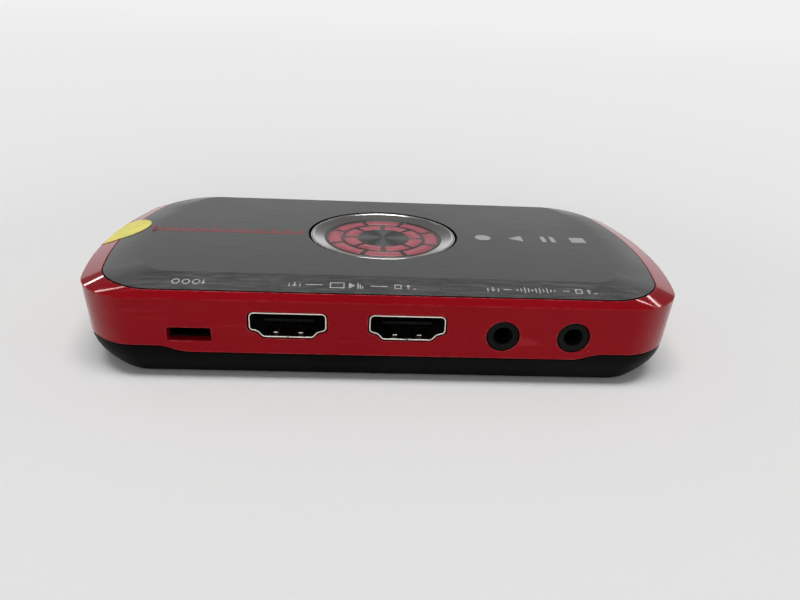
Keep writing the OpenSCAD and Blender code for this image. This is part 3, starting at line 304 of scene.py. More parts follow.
def makeHandlingMarks():
    look = markLook
    tree, _, result = newGroup("handlingMarks", {}, ("Scratch", "Specks", "Film"))
    where = here(tree)
    lines = None
    for turn, stretch in look["scratches"]:
        inputs = {"Vector": where, "Rotation": (*look["tilt"], turn), "Scale": stretch}
        line = noise(tree, put(tree, "Mapping", inputs).outputs[0], 1.0, 0.0)
        line = remap(tree, line, *look["scratchSpan"])
        lines = line if lines is None else maths(tree, "MAXIMUM", lines, line)
    patches = remap(tree, noise(tree, where, look["patchScale"], 2.0), *look["patchSpan"])
    tree.links.new(maths(tree, "MULTIPLY", lines, patches), result["Scratch"])
    cells = put(tree, "TexVoronoi", {"Vector": where, "Scale": look["speckScale"], "Randomness": 1.0})
    chance = put(tree, "SeparateColor", {0: cells.outputs["Color"]}).outputs[0]
    reach = remap(tree, chance, 1 - look["speckShare"], 1.0, 0.0, look["speckSize"])
    tree.links.new(maths(tree, "LESS_THAN", cells.outputs["Distance"], reach), result["Specks"])
    film = noise(tree, where, look["filmScale"], 6.0, 0.6)
    tree.links.new(remap(tree, film, *look["filmSpan"]), result["Film"])
    return tree


edgeWearAndHighlightLook = {
    "samples": 6,
    "facing": (0.995, 0.90),  # cosine of the turn between flat and rounded normal
    "scale": 700.0,
    "span": (0.42, 0.62),
}


# edge wear mask; on the red shell it also paints a pale highlight line along the rim
def makeEdgeWearAndHighlight():
    look = edgeWearAndHighlightLook
    tree, given, result = newGroup("edgeWearAndHighlight", {"edgeReach": 0.0004}, ("Edge",))
    rounded = put(tree, "Bevel", {"Radius": given["edgeReach"]}, samples=look["samples"]).outputs[0]
    flat = put(tree, "NewGeometry").outputs["Normal"]
    edge = remap(tree, vectors(tree, "DOT_PRODUCT", rounded, flat, "Value"), *look["facing"])
    broken = remap(tree, noise(tree, here(tree), look["scale"], 3.0), *look["span"])
    tree.links.new(maths(tree, "MULTIPLY", edge, broken), result["Edge"])
    return tree


mouldGrain = makeMouldGrain()
hairLines = makeHairLines()
handlingMarks = makeHandlingMarks()
edgeWearAndHighlight = makeEdgeWearAndHighlight()


def placeGroup(tree, group, look):  # a look's own values take the place of the group's usual ones
    made = tree.nodes.new("ShaderNodeGroup")
    made.node_tree = group
    for socket in made.inputs:
        socket.default_value = look.get(socket.name, socket.default_value)
    return made.outputs


def shaded(colour, factor):
    return rgba([min(1.0, part * factor) for part in colour])


def startMaterial(name, look):
    material = bpy.data.materials.new(name)
    material.use_nodes = True
    tree = material.node_tree
    shader = tree.nodes["Principled BSDF"]
    for socket, key, usual in (
        ("Metallic", "metal", 0.0), ("Specular IOR Level", "gloss", 0.5), ("Anisotropic", "spun", 0.0),
    ):
        shader.inputs[socket].default_value = look.get(key, usual)
    shader.inputs["Specular Tint"].default_value = rgba(look.get("tint", (1, 1, 1)))
    material.diffuse_color = rgba(look["colour"])
    return material, tree, shader


wearLook = {
    "dust": (0.1, 0.5),  # usual strength, and what it adds to the roughness
    "film": (0.03, 1.2),
    "scratch": (0.1, 0.3),
    "edge": 0.1,
    "bump": 0.3,
    "cut": 0.3,  # depth of a scratch as a share of the grain's
    "lint": (0.45, 0.44, 0.43),
    "bare": 2.2,
}


def wearOver(tree, shader, look, colour, rough, height, usualDepth):
    marks = placeGroup(tree, handlingMarks, look)
    amounts, roughening = {}, None
    for key, mask in (("scratch", "Scratch"), ("film", "Film"), ("dust", "Specks")):
        usual, coarse = wearLook[key]
        amounts[key] = maths(tree, "MULTIPLY", marks[mask], look.get(key, usual))
        added = maths(tree, "MULTIPLY", amounts[key], coarse)
        roughening = added if roughening is None else maths(tree, "ADD", roughening, added)
    rubbedWithPaintedLight = placeGroup(tree, edgeWearAndHighlight, look)["Edge"]
    edge = maths(tree, "MULTIPLY", rubbedWithPaintedLight, look.get("edge", wearLook["edge"]))
    lint = rgba(look.get("lint", wearLook["lint"]))
    bare = shaded(look["colour"], look.get("bare", wearLook["bare"]))
    # on the red shell this pale colour paints a highlight line along the rim edges, over real edge wear and
    # scratches
    if "bareColour" in look:
        bare = rgba(look["bareColour"])
    colour = mixColour(tree, edge, colour, bare)
    colour = mixColour(tree, amounts["scratch"], colour, bare)
    colour = mixColour(tree, maths(tree, "ADD", amounts["dust"], amounts["film"]), colour, lint)
    rough = maths(tree, "MINIMUM", maths(tree, "ADD", rough, roughening), 1.0)
    tree.links.new(colour, shader.inputs["Base Color"])
    tree.links.new(rough, shader.inputs["Roughness"])
    cut = maths(tree, "SUBTRACT", height, maths(tree, "MULTIPLY", marks["Scratch"], wearLook["cut"]))
    depth = look.get("depth", usualDepth)
    strength = look.get("bump", wearLook["bump"])
    bump = put(tree, "Bump", {"Height": cut, "Strength": strength, "Distance": depth})
    tree.links.new(bump.outputs[0], shader.inputs["Normal"])


def spreadColour(tree, look, mask, usual):
    spread = look.get("spread", usual)
    return mixColour(tree, mask, shaded(look["colour"], 1 - spread), shaded(look["colour"], 1 + spread))


def spreadRough(tree, look, mask, usual):
    uneven = look.get("uneven", abs(usual)) * math.copysign(1, usual)
    return remap(tree, mask, 0.0, 1.0, look["rough"] - uneven, look["rough"] + uneven)


usualLook = {  # spread of the colour, spread of the roughness and depth of the grain in metres
    "moulded": (0.12, 0.06, 0.00004),
    "brushed": (0.2, -0.06, 0.00003),
    "turned": (0.15, 0.05, 0.00002),
}


def moulded(name, look):
    spread, uneven, depth = usualLook["moulded"]
    material, tree, shader = startMaterial(name, look)
    grain = placeGroup(tree, mouldGrain, look)
    colour = spreadColour(tree, look, grain["Tone"], spread)
    rough = spreadRough(tree, look, grain["Tone"], uneven)
    wearOver(tree, shader, look, colour, rough, grain["Height"], depth)
    return material


scuffAndShadeLook = {
    "stretch": (230.0, 1900.0, 230.0),
    "light": (0.50, 0.72, 1.7),  # where the noise starts and ends to count, and the shade that it gives
    # darker streaks: partly scuffs, partly painted shade that darkens the front slope
    "dark": (0.57, 0.34, 0.55),
}


def brushed(name, look):
    spread, uneven, depth = usualLook["brushed"]
    material, tree, shader = startMaterial(name, look)
    lines = placeGroup(tree, hairLines, look)
    colour = spreadColour(tree, look, lines["Streak"], spread)
    if "rubbedWithPaintedLight" in look:  # scuffed zone in front of a fold, darkened overall as painted shade on the front slope: its two places along Y and its strength
        start, stop, strength = look["rubbedWithPaintedLight"]
        where = here(tree)
        zone = remap(tree, put(tree, "SeparateXYZ", {0: where}).outputs["Y"], start, stop)
        scuffAndShade = noise(tree, vectors(tree, "MULTIPLY", where, scuffAndShadeLook["stretch"]), 1.0, 5.0, 0.62)
        for start, stop, shade in (scuffAndShadeLook["light"], scuffAndShadeLook["dark"]):
            share = maths(tree, "MULTIPLY", zone, remap(tree, scuffAndShade, start, stop, 0.0, strength))
            colour = mixColour(tree, share, colour, shaded(look["colour"], shade))
    rough = spreadRough(tree, look, lines["Streak"], uneven)
    wearOver(tree, shader, look, colour, rough, lines["Height"], depth)
    if "spun" in look:  # glints are drawn out across the hair lines
        normal = put(tree, "NewGeometry").outputs["Normal"]
        tree.links.new(vectors(tree, "CROSS_PRODUCT", normal, (1, 0, 0)), shader.inputs["Tangent"])
    return material


def turned(name, look):  # concentric turning marks around the button's axis
    spread, uneven, depth = usualLook["turned"]
    material, tree, shader = startMaterial(name, look)
    flat = vectors(tree, "MULTIPLY", here(tree), (1, 1, 0))
    radius = vectors(tree, "LENGTH", flat, result="Value")
    inputs = {"W": radius, "Scale": look.get("grooves", 5200.0), "Detail": 3.0}
    groove = put(tree, "TexNoise", inputs, noise_dimensions="1D").outputs["Fac"]
    band = remap(tree, groove, *evenSpan)
    colour = spreadColour(tree, look, band, spread)
    rough = spreadRough(tree, look, band, uneven)
    wearOver(tree, shader, look, colour, rough, groove, depth)
    if "spun" in look:  # glints are drawn out across the turning marks
        tree.links.new(flat, shader.inputs["Tangent"])
    return material


finishes = {
    "red_gloss": (moulded, {
        "colour": (0.258, 0.0026, 0.0068), "rough": 0.045, "uneven": 0.015, "gloss": 0.42,
        "tint": (0.6, 0.16, 0.18), "fine": 900.0, "cloud": 45.0, "spread": 0.05, "depth": 0.00001,
        # edge, edgeReach and the pale bare colour paint a highlight line along the rim, over real edge wear
        "bump": 0.04, "dust": 0.06, "film": 0.006, "scratch": 0.10, "edge": 0.55, "edgeReach": 0.00045,
        "bareColour": (0.55, 0.12, 0.13),
    }),
    "black_satin": (moulded, {
        "colour": (0.0022, 0.0026, 0.0021), "rough": 0.38, "uneven": 0.05, "gloss": 0.035, "fine": 3200.0,
        "cloud": 70.0, "spread": 0.2, "depth": 0.00005, "bump": 0.35, "dust": 0.05, "film": 0.008,
        "scratch": 0.08, "edge": 0.15, "bare": 4.0,
    }),
    "plate_metal": (brushed, {
        "colour": (0.151, 0.155, 0.152), "metal": 0.72, "gloss": 0.20, "rough": 0.31, "uneven": 0.05,
        "spun": 0.35, "along": 300.0, "across": 15000.0, "spread": 0.11, "depth": 0.00001, "bump": 0.16,
        "dust": 0.22, "film": 0.07, "scratch": 0.22, "edge": 0.25, "bare": 2.0, "lint": (0.30, 0.30, 0.29),
        # scuffs on the front slope, which also paint shade over it
        "rubbedWithPaintedLight": (-0.0258, -0.0272, 0.65),
    }),
    # black finish that paints shade into gaps and onto the plate's cut edge
    "paintedShadeBlack": (moulded, {
        "colour": (0.0030, 0.0032, 0.0030), "rough": 0.6, "gloss": 0.05, "edge": 0.0, "dust": 0.0,
    }),
    # dark finish that paints shade inside the video sockets
    "paintedSocketShade": (moulded, {
        "colour": (0.0035, 0.0035, 0.0033), "rough": 0.55, "gloss": 0.06, "edge": 0.0, "dust": 0.03,
    }),
    "tape": (moulded, {"colour": (0.62, 0.60, 0.52), "rough": 0.6, "fine": 4000.0, "spread": 0.08}),
    "foot_rubber": (moulded, {
        "colour": (0.018, 0.018, 0.018), "rough": 0.82, "gloss": 0.3, "fine": 5200.0, "depth": 0.00008,
        "bump": 0.5, "dust": 0.35, "film": 0.12, "edge": 0.3, "bare": 3.0,
    }),
    "screw_steel": (turned, {
        "colour": (0.16, 0.16, 0.165), "metal": 1.0, "rough": 0.36, "edge": 0.5, "bare": 2.5,
    }),
    "ring_chrome": (turned, {
        "colour": (0.60, 0.59, 0.565), "metal": 1.0, "rough": 0.22, "uneven": 0.03, "spun": 0.30,
        "grooves": 3600.0, "spread": 0.05, "bump": 0.05, "dust": 0.20, "film": 0.03, "scratch": 0.15,
        "edge": 0.1, "bare": 1.2,
    }),
    "inlay_metal": (turned, {
        "colour": (0.150, 0.153, 0.152), "metal": 1.0, "rough": 0.34, "uneven": 0.06, "spun": 0.90,
        "spread": 0.25, "bump": 0.25, "dust": 0.25, "film": 0.05, "scratch": 0.2, "edge": 0.3, "bare": 2.0,
    }),
    "guide_red": (moulded, {
        "colour": (0.43, 0.095, 0.122), "rough": 0.38, "fine": 3800.0, "cloud": 160.0, "spread": 0.12,
        "depth": 0.00003, "dust": 0.45, "film": 0.10, "scratch": 0.2, "lint": (0.55, 0.42, 0.42),
    }),
    "black_plastic": (moulded, {
        "colour": (0.0024, 0.0026, 0.0023), "gloss": 0.07, "rough": 0.44, "uneven": 0.05, "fine": 4200.0,
        "cloud": 120.0, "spread": 0.18, "depth": 0.00003, "dust": 0.10, "film": 0.012, "edge": 0.25,
        "bare": 2.8,
    }),
    "socket_nickel": (brushed, {
        "colour": (0.86, 0.80, 0.71), "metal": 1.0, "rough": 0.20, "uneven": 0.05, "along": 900.0,
        "across": 2600.0, "spread": 0.10, "bump": 0.08, "dust": 0.1, "film": 0.03, "scratch": 0.2,
        "edge": 0.2, "bare": 1.3,
    }),
    "contact_gold": (brushed, {
        "colour": (0.78, 0.55, 0.20), "metal": 1.0, "rough": 0.25, "along": 1500.0, "across": 4000.0,
        "spread": 0.1,
    }),
    "lamp_white": (moulded, {
        "colour": (0.78, 0.77, 0.71), "rough": 0.4, "spread": 0.05, "lint": (0.5, 0.48, 0.45),
    }),
    "board_green": (moulded, {
        "colour": (0.010, 0.085, 0.030), "rough": 0.32, "fine": 900.0, "cloud": 420.0, "spread": 0.45,
        "depth": 0.00003, "scratch": 0.05,
    }),
    "chip_black": (moulded, {
        "colour": (0.020, 0.020, 0.022), "rough": 0.55, "fine": 6000.0, "spread": 0.15, "depth": 0.00005,
        "edge": 0.2,
    }),
    "pad_grey": (moulded, {"colour": (0.32, 0.37, 0.46), "rough": 0.75, "fine": 5000.0, "spread": 0.1}),
    "spreader_alu": (brushed, {
        "colour": (0.62, 0.63, 0.64), "metal": 1.0, "rough": 0.34, "along": 60.0, "across": 4000.0,
    }),
    "ferrite": (moulded, {
        "colour": (0.055, 0.052, 0.050), "rough": 0.62, "fine": 5200.0, "spread": 0.25, "depth": 0.00008,
    }),
    "can_alu": (brushed, {
        "colour": (0.64, 0.65, 0.66), "metal": 1.0, "rough": 0.28, "along": 400.0, "across": 2200.0,
    }),
    "ceramic_tan": (moulded, {"colour": (0.33, 0.22, 0.12), "rough": 0.5, "fine": 6000.0, "spread": 0.18}),
    "silverInk": (moulded, {
        "colour": (0.46, 0.47, 0.46), "metal": 0.2, "rough": 0.45, "fine": 5000.0, "spread": 0.08,
        "dust": 0.2, "film": 0.06,
    }),
    "greyInk": (moulded, {
        "colour": (0.40, 0.41, 0.40), "rough": 0.55, "fine": 6000.0, "cloud": 500.0, "spread": 0.2,
        "dust": 0.2, "film": 0.1,
    }),
    "redInk": (moulded, {
        "colour": (0.34, 0.050, 0.060), "rough": 0.50, "fine": 6000.0, "cloud": 500.0, "spread": 0.2,
        "dust": 0.2, "film": 0.06,
    }),
    "yellowPaper": (moulded, {
        "colour": (0.86, 0.78, 0.17), "rough": 0.62, "fine": 3400.0, "cloud": 260.0, "spread": 0.08,
        "depth": 0.00005, "dust": 0.2, "film": 0.08, "edge": 0.25, "bare": 1.35, "lint": (0.5, 0.47, 0.36),
    }),
}
coat = {name: maker(name, look) for name, (maker, look) in finishes.items()}
print("finishes made:", len(coat))

outlineLook = {
    "cornerSteps": 20,
    "endCuts": 23,
    "endNear": 1e-4,  # how near to the full width an edge counts as an end
}
touching = 1e-5  # millimetres within which two points are one
over = 0.5  # how far a cutting tool reaches past what it cuts


def roundOff(bm, geom, width, steps, affect="VERTICES", clamp=False):
    bmesh.ops.bevel(bm, geom=geom, offset=width, offset_type="OFFSET", segments=steps, profile=0.5,
                    affect=affect, material=-1, clamp_overlap=clamp)


def drawRing(bm, halfX, halfY, radius, z):  # rounded outline with bowed ends, clockwise from the front
    look = outlineLook
    flat = bmesh.new()
    spots = ((halfX, -halfY), (halfX, halfY), (-halfX, halfY), (-halfX, -halfY))
    corners = [flat.verts.new((x, y, z)) for x, y in spots]
    flat.faces.new(corners)
    roundOff(flat, corners, radius, look["cornerSteps"])
    full = halfX - look["endNear"]
    ends = [edge for edge in flat.edges if all(abs(vert.co.x) > full for vert in edge.verts)]
    bmesh.ops.subdivide_edges(flat, edges=ends, cuts=look["endCuts"])
    points = [Vector((vert.co.x * bowShare(vert.co.y, halfY), vert.co.y, z)) for vert in flat.verts]
    flat.free()
    return [bm.verts.new(point) for point in sorted(points, key=lambda point: math.atan2(point.x, point.y))]


def drawStack(bm, sections):  # quads between neighbouring outlines, with a flat cap at both ends
    rings = [drawRing(bm, *section) for section in sections]
    for lower, upper in zip(rings, rings[1:]):
        for corners in zip(lower, lower[1:] + lower[:1], upper[1:] + upper[:1], upper):
            bm.faces.new(corners)
    for ring in (rings[0], rings[-1]):
        bm.faces.new(ring)
    return rings


def roundRing(bm, ring, width, steps):
    edges = [bm.edges.get(pair) for pair in zip(ring, ring[1:] + ring[:1])]
    roundOff(bm, edges, width, steps, "EDGES", True)


def drawOutline(bm, points, radius, steps, y):  # closed, at depth y, with one radius or one for each point
    earlier = set(bm.faces)
    corners = [bm.verts.new((a, y, b)) for a, b in points]
    bm.faces.new(corners)
    each = radius if isinstance(radius, tuple) else (radius,) * len(corners)
    for size in sorted(set(each)):
        roundOff(bm, [vert for vert, own in zip(corners, each) if own == size], size, steps)
    return [face for face in bm.faces if face not in earlier]


def pull(bm, faces, way):
    made = bmesh.ops.extrude_face_region(bm, geom=faces)["geom"]
    bmesh.ops.translate(bm, verts=[part for part in made if isinstance(part, bmesh.types.BMVert)], vec=way)


def drawPrism(bm, points, radius, steps, y0, y1):
    pull(bm, drawOutline(bm, points, radius, steps, y0), (0, y1 - y0, 0))


def drawRod(bm, spot, length, radius, steps, turn=Matrix()):
    bmesh.ops.create_cone(bm, cap_ends=True, segments=steps, radius1=radius, radius2=radius, depth=length,
                          matrix=Matrix.Translation(spot) @ turn)


def drawDrum(bm, x, y, z0, z1, radius, steps):
    drawRod(bm, (x, y, (z0 + z1) / 2), z1 - z0, radius, steps)


def drawBore(bm, x, y0, y1, z, radius, steps):
    drawRod(bm, (x, (y0 + y1) / 2, z), y1 - y0, radius, steps, Matrix.Rotation(math.pi / 2, 4, "X"))


def drawBox(bm, low, high):
    low, high = Vector(low), Vector(high)
    place = Matrix.Translation((high + low) / 2) @ Matrix.Diagonal((*(high - low), 1.0))
    return bmesh.ops.create_cube(bm, size=1.0, matrix=place)["verts"]


def grownPoints(points, amount):  # outline moved outwards, its points run counter-clockwise
    made = []
    for before, spot, after in zip(points[-1:] + points[:-1], points, points[1:] + points[:1]):
        first = (Vector(spot) - Vector(before)).normalized()
        second = (Vector(after) - Vector(spot)).normalized()
        out = Vector((first.y, -first.x)) + Vector((second.y, -second.x))
        made.append(Vector(spot) + amount * out / (1 + first.dot(second)))
    return [tuple(spot) for spot in made]


def socketPoints(x, z, size, shoulder=None, grow=0.0):
    width, height, foot, side = size
    halfW, halfH = width / 2, height / 2
    right = [(foot / 2, -halfH)]
    if shoulder:
        right.append((halfW - shoulder[0], halfH - side - shoulder[1]))
    right += [(halfW, halfH - side), (halfW, halfH)]
    shape = right + [(-a, b) for a, b in reversed(right)]
    return [(x + a, z + b) for a, b in grownPoints(shape, grow)]


def slotPoints(x, z, width, height):
    return [(x + sx * width / 2, z + sz * height / 2) for sx, sz in ((-1, -1), (1, -1), (1, 1), (-1, 1))]


def toObject(name, bm):
    bmesh.ops.remove_doubles(bm, verts=bm.verts, dist=touching)
    bmesh.ops.recalc_face_normals(bm, faces=bm.faces)
    made = linkMesh(name, bm)
    made.data.transform(Matrix.Scale(mm, 4))
    return made


def bake(piece):
    bpy.context.view_layer.update()
    ready = piece.evaluated_get(bpy.context.evaluated_depsgraph_get())
    mesh = bpy.data.meshes.new_from_object(ready)
    old = piece.data
    piece.modifiers.clear()
    piece.data = mesh
    bpy.data.meshes.remove(old)
    mesh.name = piece.name


def carve(piece, tools):
    for operation, bm in tools:
        tool = toObject("tool", bm)
        step = piece.modifiers.new("carve", "BOOLEAN")
        step.operation = operation
        step.solver = "EXACT"
        step.object = tool
        bake(piece)
        spare = tool.data
        bpy.data.objects.remove(tool, do_unlink=True)
        bpy.data.meshes.remove(spare)


softLook = {
    "angle": 38,  # degrees from which an edge is rounded
    "evenWeight": 70,
    "join": 2e-7,  # metres within which a copy's loose corners are one
    "flat": 0.6,  # degrees up to which neighbouring faces of a copy are one
}


def soften(piece, width, segments=2, angle=softLook["angle"], miter="MITER_ARC"):
    step = piece.modifiers.new("softEdges", "BEVEL")
    step.width = width * mm
    step.segments = segments
    step.limit_method = "ANGLE"
    step.angle_limit = math.radians(angle)
    step.use_clamp_overlap = False
    step.harden_normals = False
    step.miter_outer = miter
    even = piece.modifiers.new("evenNormals", "WEIGHTED_NORMAL")
    even.keep_sharp = True
    even.weight = softLook["evenWeight"]


def dress(piece, body, finish, *hides, sharp=None):  # gives a piece its finish and body, and hides the nodes that it stands for
    piece.data.materials.clear()
    piece.data.materials.append(coat[finish])
    piece.data.shade_smooth()
    if sharp:
        piece.data.set_sharp_from_angle(angle=math.radians(sharp))
    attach(piece, body)
    if hides:
        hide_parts(*hides)


def softCopy(node, name, body, finish, width, segments, miter="MITER_ARC"):
    bm = bmesh.new()
    bm.from_mesh(nodes[node].data)
    bmesh.ops.remove_doubles(bm, verts=bm.verts, dist=softLook["join"])
    bmesh.ops.dissolve_limit(bm, angle_limit=math.radians(softLook["flat"]), verts=bm.verts, edges=bm.edges)
    made = linkMesh(name, bm)
    soften(made, width, segments, miter=miter)
    dress(made, body, finish, node)


def corners(node):  # lowest and highest corner of a node's box
    return [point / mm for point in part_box(node)]


def middle(node):
    low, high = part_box(node)
    return (low + high) / 2 / mm


shellLook = {
    "cornerRadius": 9.6,
    "endBow": 5.9,
    "wall": 2.0,
    "draft": 0.7,
    "bevelSide": 4.2,
    "bevelFront": 1.6,
    "bevelRise": 1.35,
    "land": 0.15,  # width of the lip around the plate
    "landDrop": 0.12,  # how far that lip stays below the plate's edge
    "plateGap": 0.2,
    "rimRound": 0.12,
    "edgeRound": 0.10,
    "partingLow": 5.85,
    "partingHigh": 7.15,
    "partingFlat": 38.3,
    "partingRun": 3.3,
    "partingRound": 1.6,
    "partingSteps": 8,
    "partingGap": 0.15,
    "partingReach": (3.0, 2.0),  # reach past the ends and the floor of what is cut off
    "rimSteps": 4,
    "buttonHole": 17.02,
    "holeSteps": 128,
    "holeFloor": 15.0,
    "bossRadius": 3.15,
    "bossSteps": 40,
    "bossFoot": 8.4,
    "bossPlaces": (49.0, 22.0),
    "pilotRadius": 1.25,
    "pilotSteps": 32,
    "pilotTop": 15.1,
}
plateLook = {
    "slopeSide": 7.5,
    "slopeFront": 5.3,
    "cornerRadius": 9.6,
    "thick": 1.0,
    "tape": 0.15,
    "rise": 1.45,  # height of the fold above the plate's edge
    "deck": 1.75,  # thickness of the shell below the tape
    "foldRound": 0.9,
    "foldSteps": 6,
    "edgeRound": 0.03,
    "holeReach": 3.0,
    "cutFacing": 0.5,  # faces that look less upwards than this are the cut edge
}
portLook = {
    "videos": ("video_in_shell", "video_out_shell"),
    "jacks": ("audio_in_jack", "audio_out_jack"),
    "steps": 6,  # of a rounded corner, where no other count is given
    "videoHeight": 12.1,
    "videoSize": (14.5, 5.05, 9.4, 3.5),
    "videoShoulder": (1.65, 0.45),
    "videoRounds": (0.45, 0.3, 0.6, 1.0),  # at the foot, below and above the shoulder, and at the top
    "gap": 0.24,
    "shadeReach": {"videos": 7.8, "jacks": 3.4},  # half width of the zone around an opening whose gap faces are painted black as shade
    "shadeSpan": (7.4, 15.4),  # heights of that zone
    "shadeDepth": 2.2,
    "shadeFacing": 0.3,  # faces that look more forwards than this stay red
    "jackHeight": 10.85,
    "jackHole": 3.2,
    "jackSteps": 64,
    "avHeight": 9.8,
    "avSize": (8.2, 2.8),
    "avRound": 0.35,
    "dataHeight": 10.375,
    "dataSize": (7.7, 3.95, 6.2, 2.6),
    "dataRound": (0.45, 8),  # radius and steps
    "cardHeight": 10.05,
    "cardSize": (24.7, 2.7),
    "cardRound": (0.2, 5),
    "modePlace": (9.0, 10.2),
    "modePocket": (7.0, 3.4, 1.0),
    "modeSlot": (6.4, 2.2),
    "modeRound": 0.3,
}
half = corners("top_shell")[1]  # half width, half depth and top of the upper shell
plateTop = corners("top_plate")[1].z
plateHalf = Vector((half.x - shellLook["bevelSide"], half.y - shellLook["bevelFront"]))
foldHalf = plateHalf - Vector((plateLook["slopeSide"], plateLook["slopeFront"]))
foldRadius = plateLook["cornerRadius"] - plateLook["slopeFront"]
videoRounds = portLook["videoRounds"] + portLook["videoRounds"][::-1]
plateEdge = plateTop - plateLook["rise"]
rimHeight = plateEdge - shellLook["bevelRise"]
deckTop = plateTop - plateLook["thick"] - plateLook["tape"]
deckEdge = plateEdge - plateLook["thick"] - plateLook["tape"]


def bowShare(y, halfY):  # share of its half width that an outline keeps at y
    return 1 - shellLook["endBow"] / half.x * (y / halfY) ** 2


def wallAt(z):  # distance of the front wall's outside from the middle at height z
    return half.y - shellLook["draft"] * (rimHeight - z) / (rimHeight - shellLook["partingLow"])


def videoPoints(x, grow):
    look = portLook
    return socketPoints(x, look["videoHeight"], look["videoSize"], look["videoShoulder"], grow)


def caseOutline(inset, z):
    return half.x - inset, half.y - inset, shellLook["cornerRadius"] - inset, z


def plateOutline(grow, z):
    return plateHalf.x + grow, plateHalf.y + grow, plateLook["cornerRadius"] + grow, z


def foldOutline(z):
    return foldHalf.x, foldHalf.y, foldRadius, z


def drawBelowParting(bm, lift, depth):
    look = shellLook
    low, high = look["partingLow"] + lift, look["partingHigh"] + lift
    pastEnd, below = look["partingReach"]
    far, flat, stop = half.x + pastEnd, look["partingFlat"], look["partingFlat"] + look["partingRun"]
    right = [(flat, low), (stop, high), (far, high), (far, -below)]
    left = [(-x, z) for x, z in reversed(right)]
    line = left[1:] + right + left[:1]
    verts = [bm.verts.new((x, -depth, z)) for x, z in line]
    bm.faces.new(verts)
    roundOff(bm, verts[1:5], look["partingRound"], look["partingSteps"])
    pull(bm, list(bm.faces), (0, 2 * depth, 0))


def drawWallOpenings(bm):
    look = portLook
    deep = half.y - shellLook["wall"] - shellLook["draft"] - over
    front, rear = (-half.y - over, -deep), (deep, half.y + over)
    for node in look["videos"]:
        drawPrism(bm, videoPoints(middle(node).x, look["gap"]), videoRounds, look["steps"], *front)
    for node in look["jacks"]:
        drawBore(bm, middle(node).x, *front, look["jackHeight"], look["jackHole"], look["jackSteps"])
    shape = slotPoints(middle("av_in_shell").x, look["avHeight"], *look["avSize"])
    drawPrism(bm, shape, look["avRound"], look["steps"], *front)
    shape = socketPoints(middle("data_shell").x, look["dataHeight"], look["dataSize"], grow=look["gap"])
    radius, steps = look["dataRound"]
    drawPrism(bm, shape, radius + look["gap"], steps, *rear)
    shape = slotPoints(middle("card_socket_base").x, look["cardHeight"], *look["cardSize"])
    drawPrism(bm, shape, *look["cardRound"], *rear)
    x, z = look["modePlace"]
    width, height, depth = look["modePocket"]
    shape = slotPoints(x, z, width, height)
    drawPrism(bm, shape, look["modeRound"], look["steps"], wallAt(z) - depth, half.y + 2 * over)


def makeUpperShell():
    look = shellLook
    draft, wall, gap = look["draft"], look["wall"], look["plateGap"]
    inner = draft + wall
    brim = plateEdge - look["landDrop"]
    deckThick = plateLook["deck"]
    deckFloor = deckTop - deckThick
    bm = bmesh.new()
    rings = drawStack(bm, (
        foldOutline(deckFloor),
        (plateHalf.x, plateHalf.y - wall, plateLook["cornerRadius"] - wall, deckEdge - deckThick),
        caseOutline(inner, rimHeight - wall),
        caseOutline(inner, look["partingLow"]),
        caseOutline(draft, look["partingLow"]),
        caseOutline(0, rimHeight),
        plateOutline(gap + look["land"], brim),
        plateOutline(gap, brim),
        plateOutline(gap, deckEdge),
        foldOutline(deckTop),
    ))
    roundRing(bm, rings[5], look["rimRound"], look["rimSteps"])
    shell = toObject("upperShell", bm)
    parting, bosses, holes, slot = (bmesh.new() for tool in range(4))
    drawBelowParting(parting, look["partingGap"] / 2, half.y + 2 * over)
    foot = look["bossFoot"]
    drawDrum(holes, 0, 0, deckFloor - over, deckTop + over, look["buttonHole"], look["holeSteps"])
    bossX, bossY = look["bossPlaces"]
    for x in (-bossX, bossX):
        for y in (-bossY, bossY):
            drawDrum(bosses, x, y, foot, deckFloor + over, look["bossRadius"], look["bossSteps"])
            drawDrum(holes, x, y, foot - over, look["pilotTop"], look["pilotRadius"], look["pilotSteps"])
    drawWallOpenings(holes)
    shape = slotPoints(*portLook["modePlace"], *portLook["modeSlot"])
    drawPrism(slot, shape, portLook["modeRound"], portLook["steps"], half.y - inner - over, half.y)
    carve(shell, (("DIFFERENCE", parting), ("UNION", bosses), ("DIFFERENCE", holes), ("DIFFERENCE", slot)))
    soften(shell, look["edgeRound"])
    dress(shell, "case", "red_gloss", "top_shell")
    shell.data.materials.append(coat["paintedShadeBlack"])  # painted shade: faces in the gaps around sockets and button are coloured black, as no light comes into them
    reaches = portLook["shadeReach"].items()
    dark = [(middle(node).x, reach) for kind, reach in reaches for node in portLook[kind]]
    low, high = portLook["shadeSpan"]
    for face in shell.data.polygons:
        spot = face.center / mm
        near = low < spot.z < high and any(abs(spot.x - x) < reach for x, reach in dark)
        facing = abs(face.normal.y) < portLook["shadeFacing"]
        inGap = near and facing and spot.y < portLook["shadeDepth"] - wallAt(spot.z)
        inHole = spot.xy.length < look["buttonHole"] + over and spot.z > look["holeFloor"]
        face.material_index = int(inGap or inHole)


makeUpperShell()
print("upper shell made")


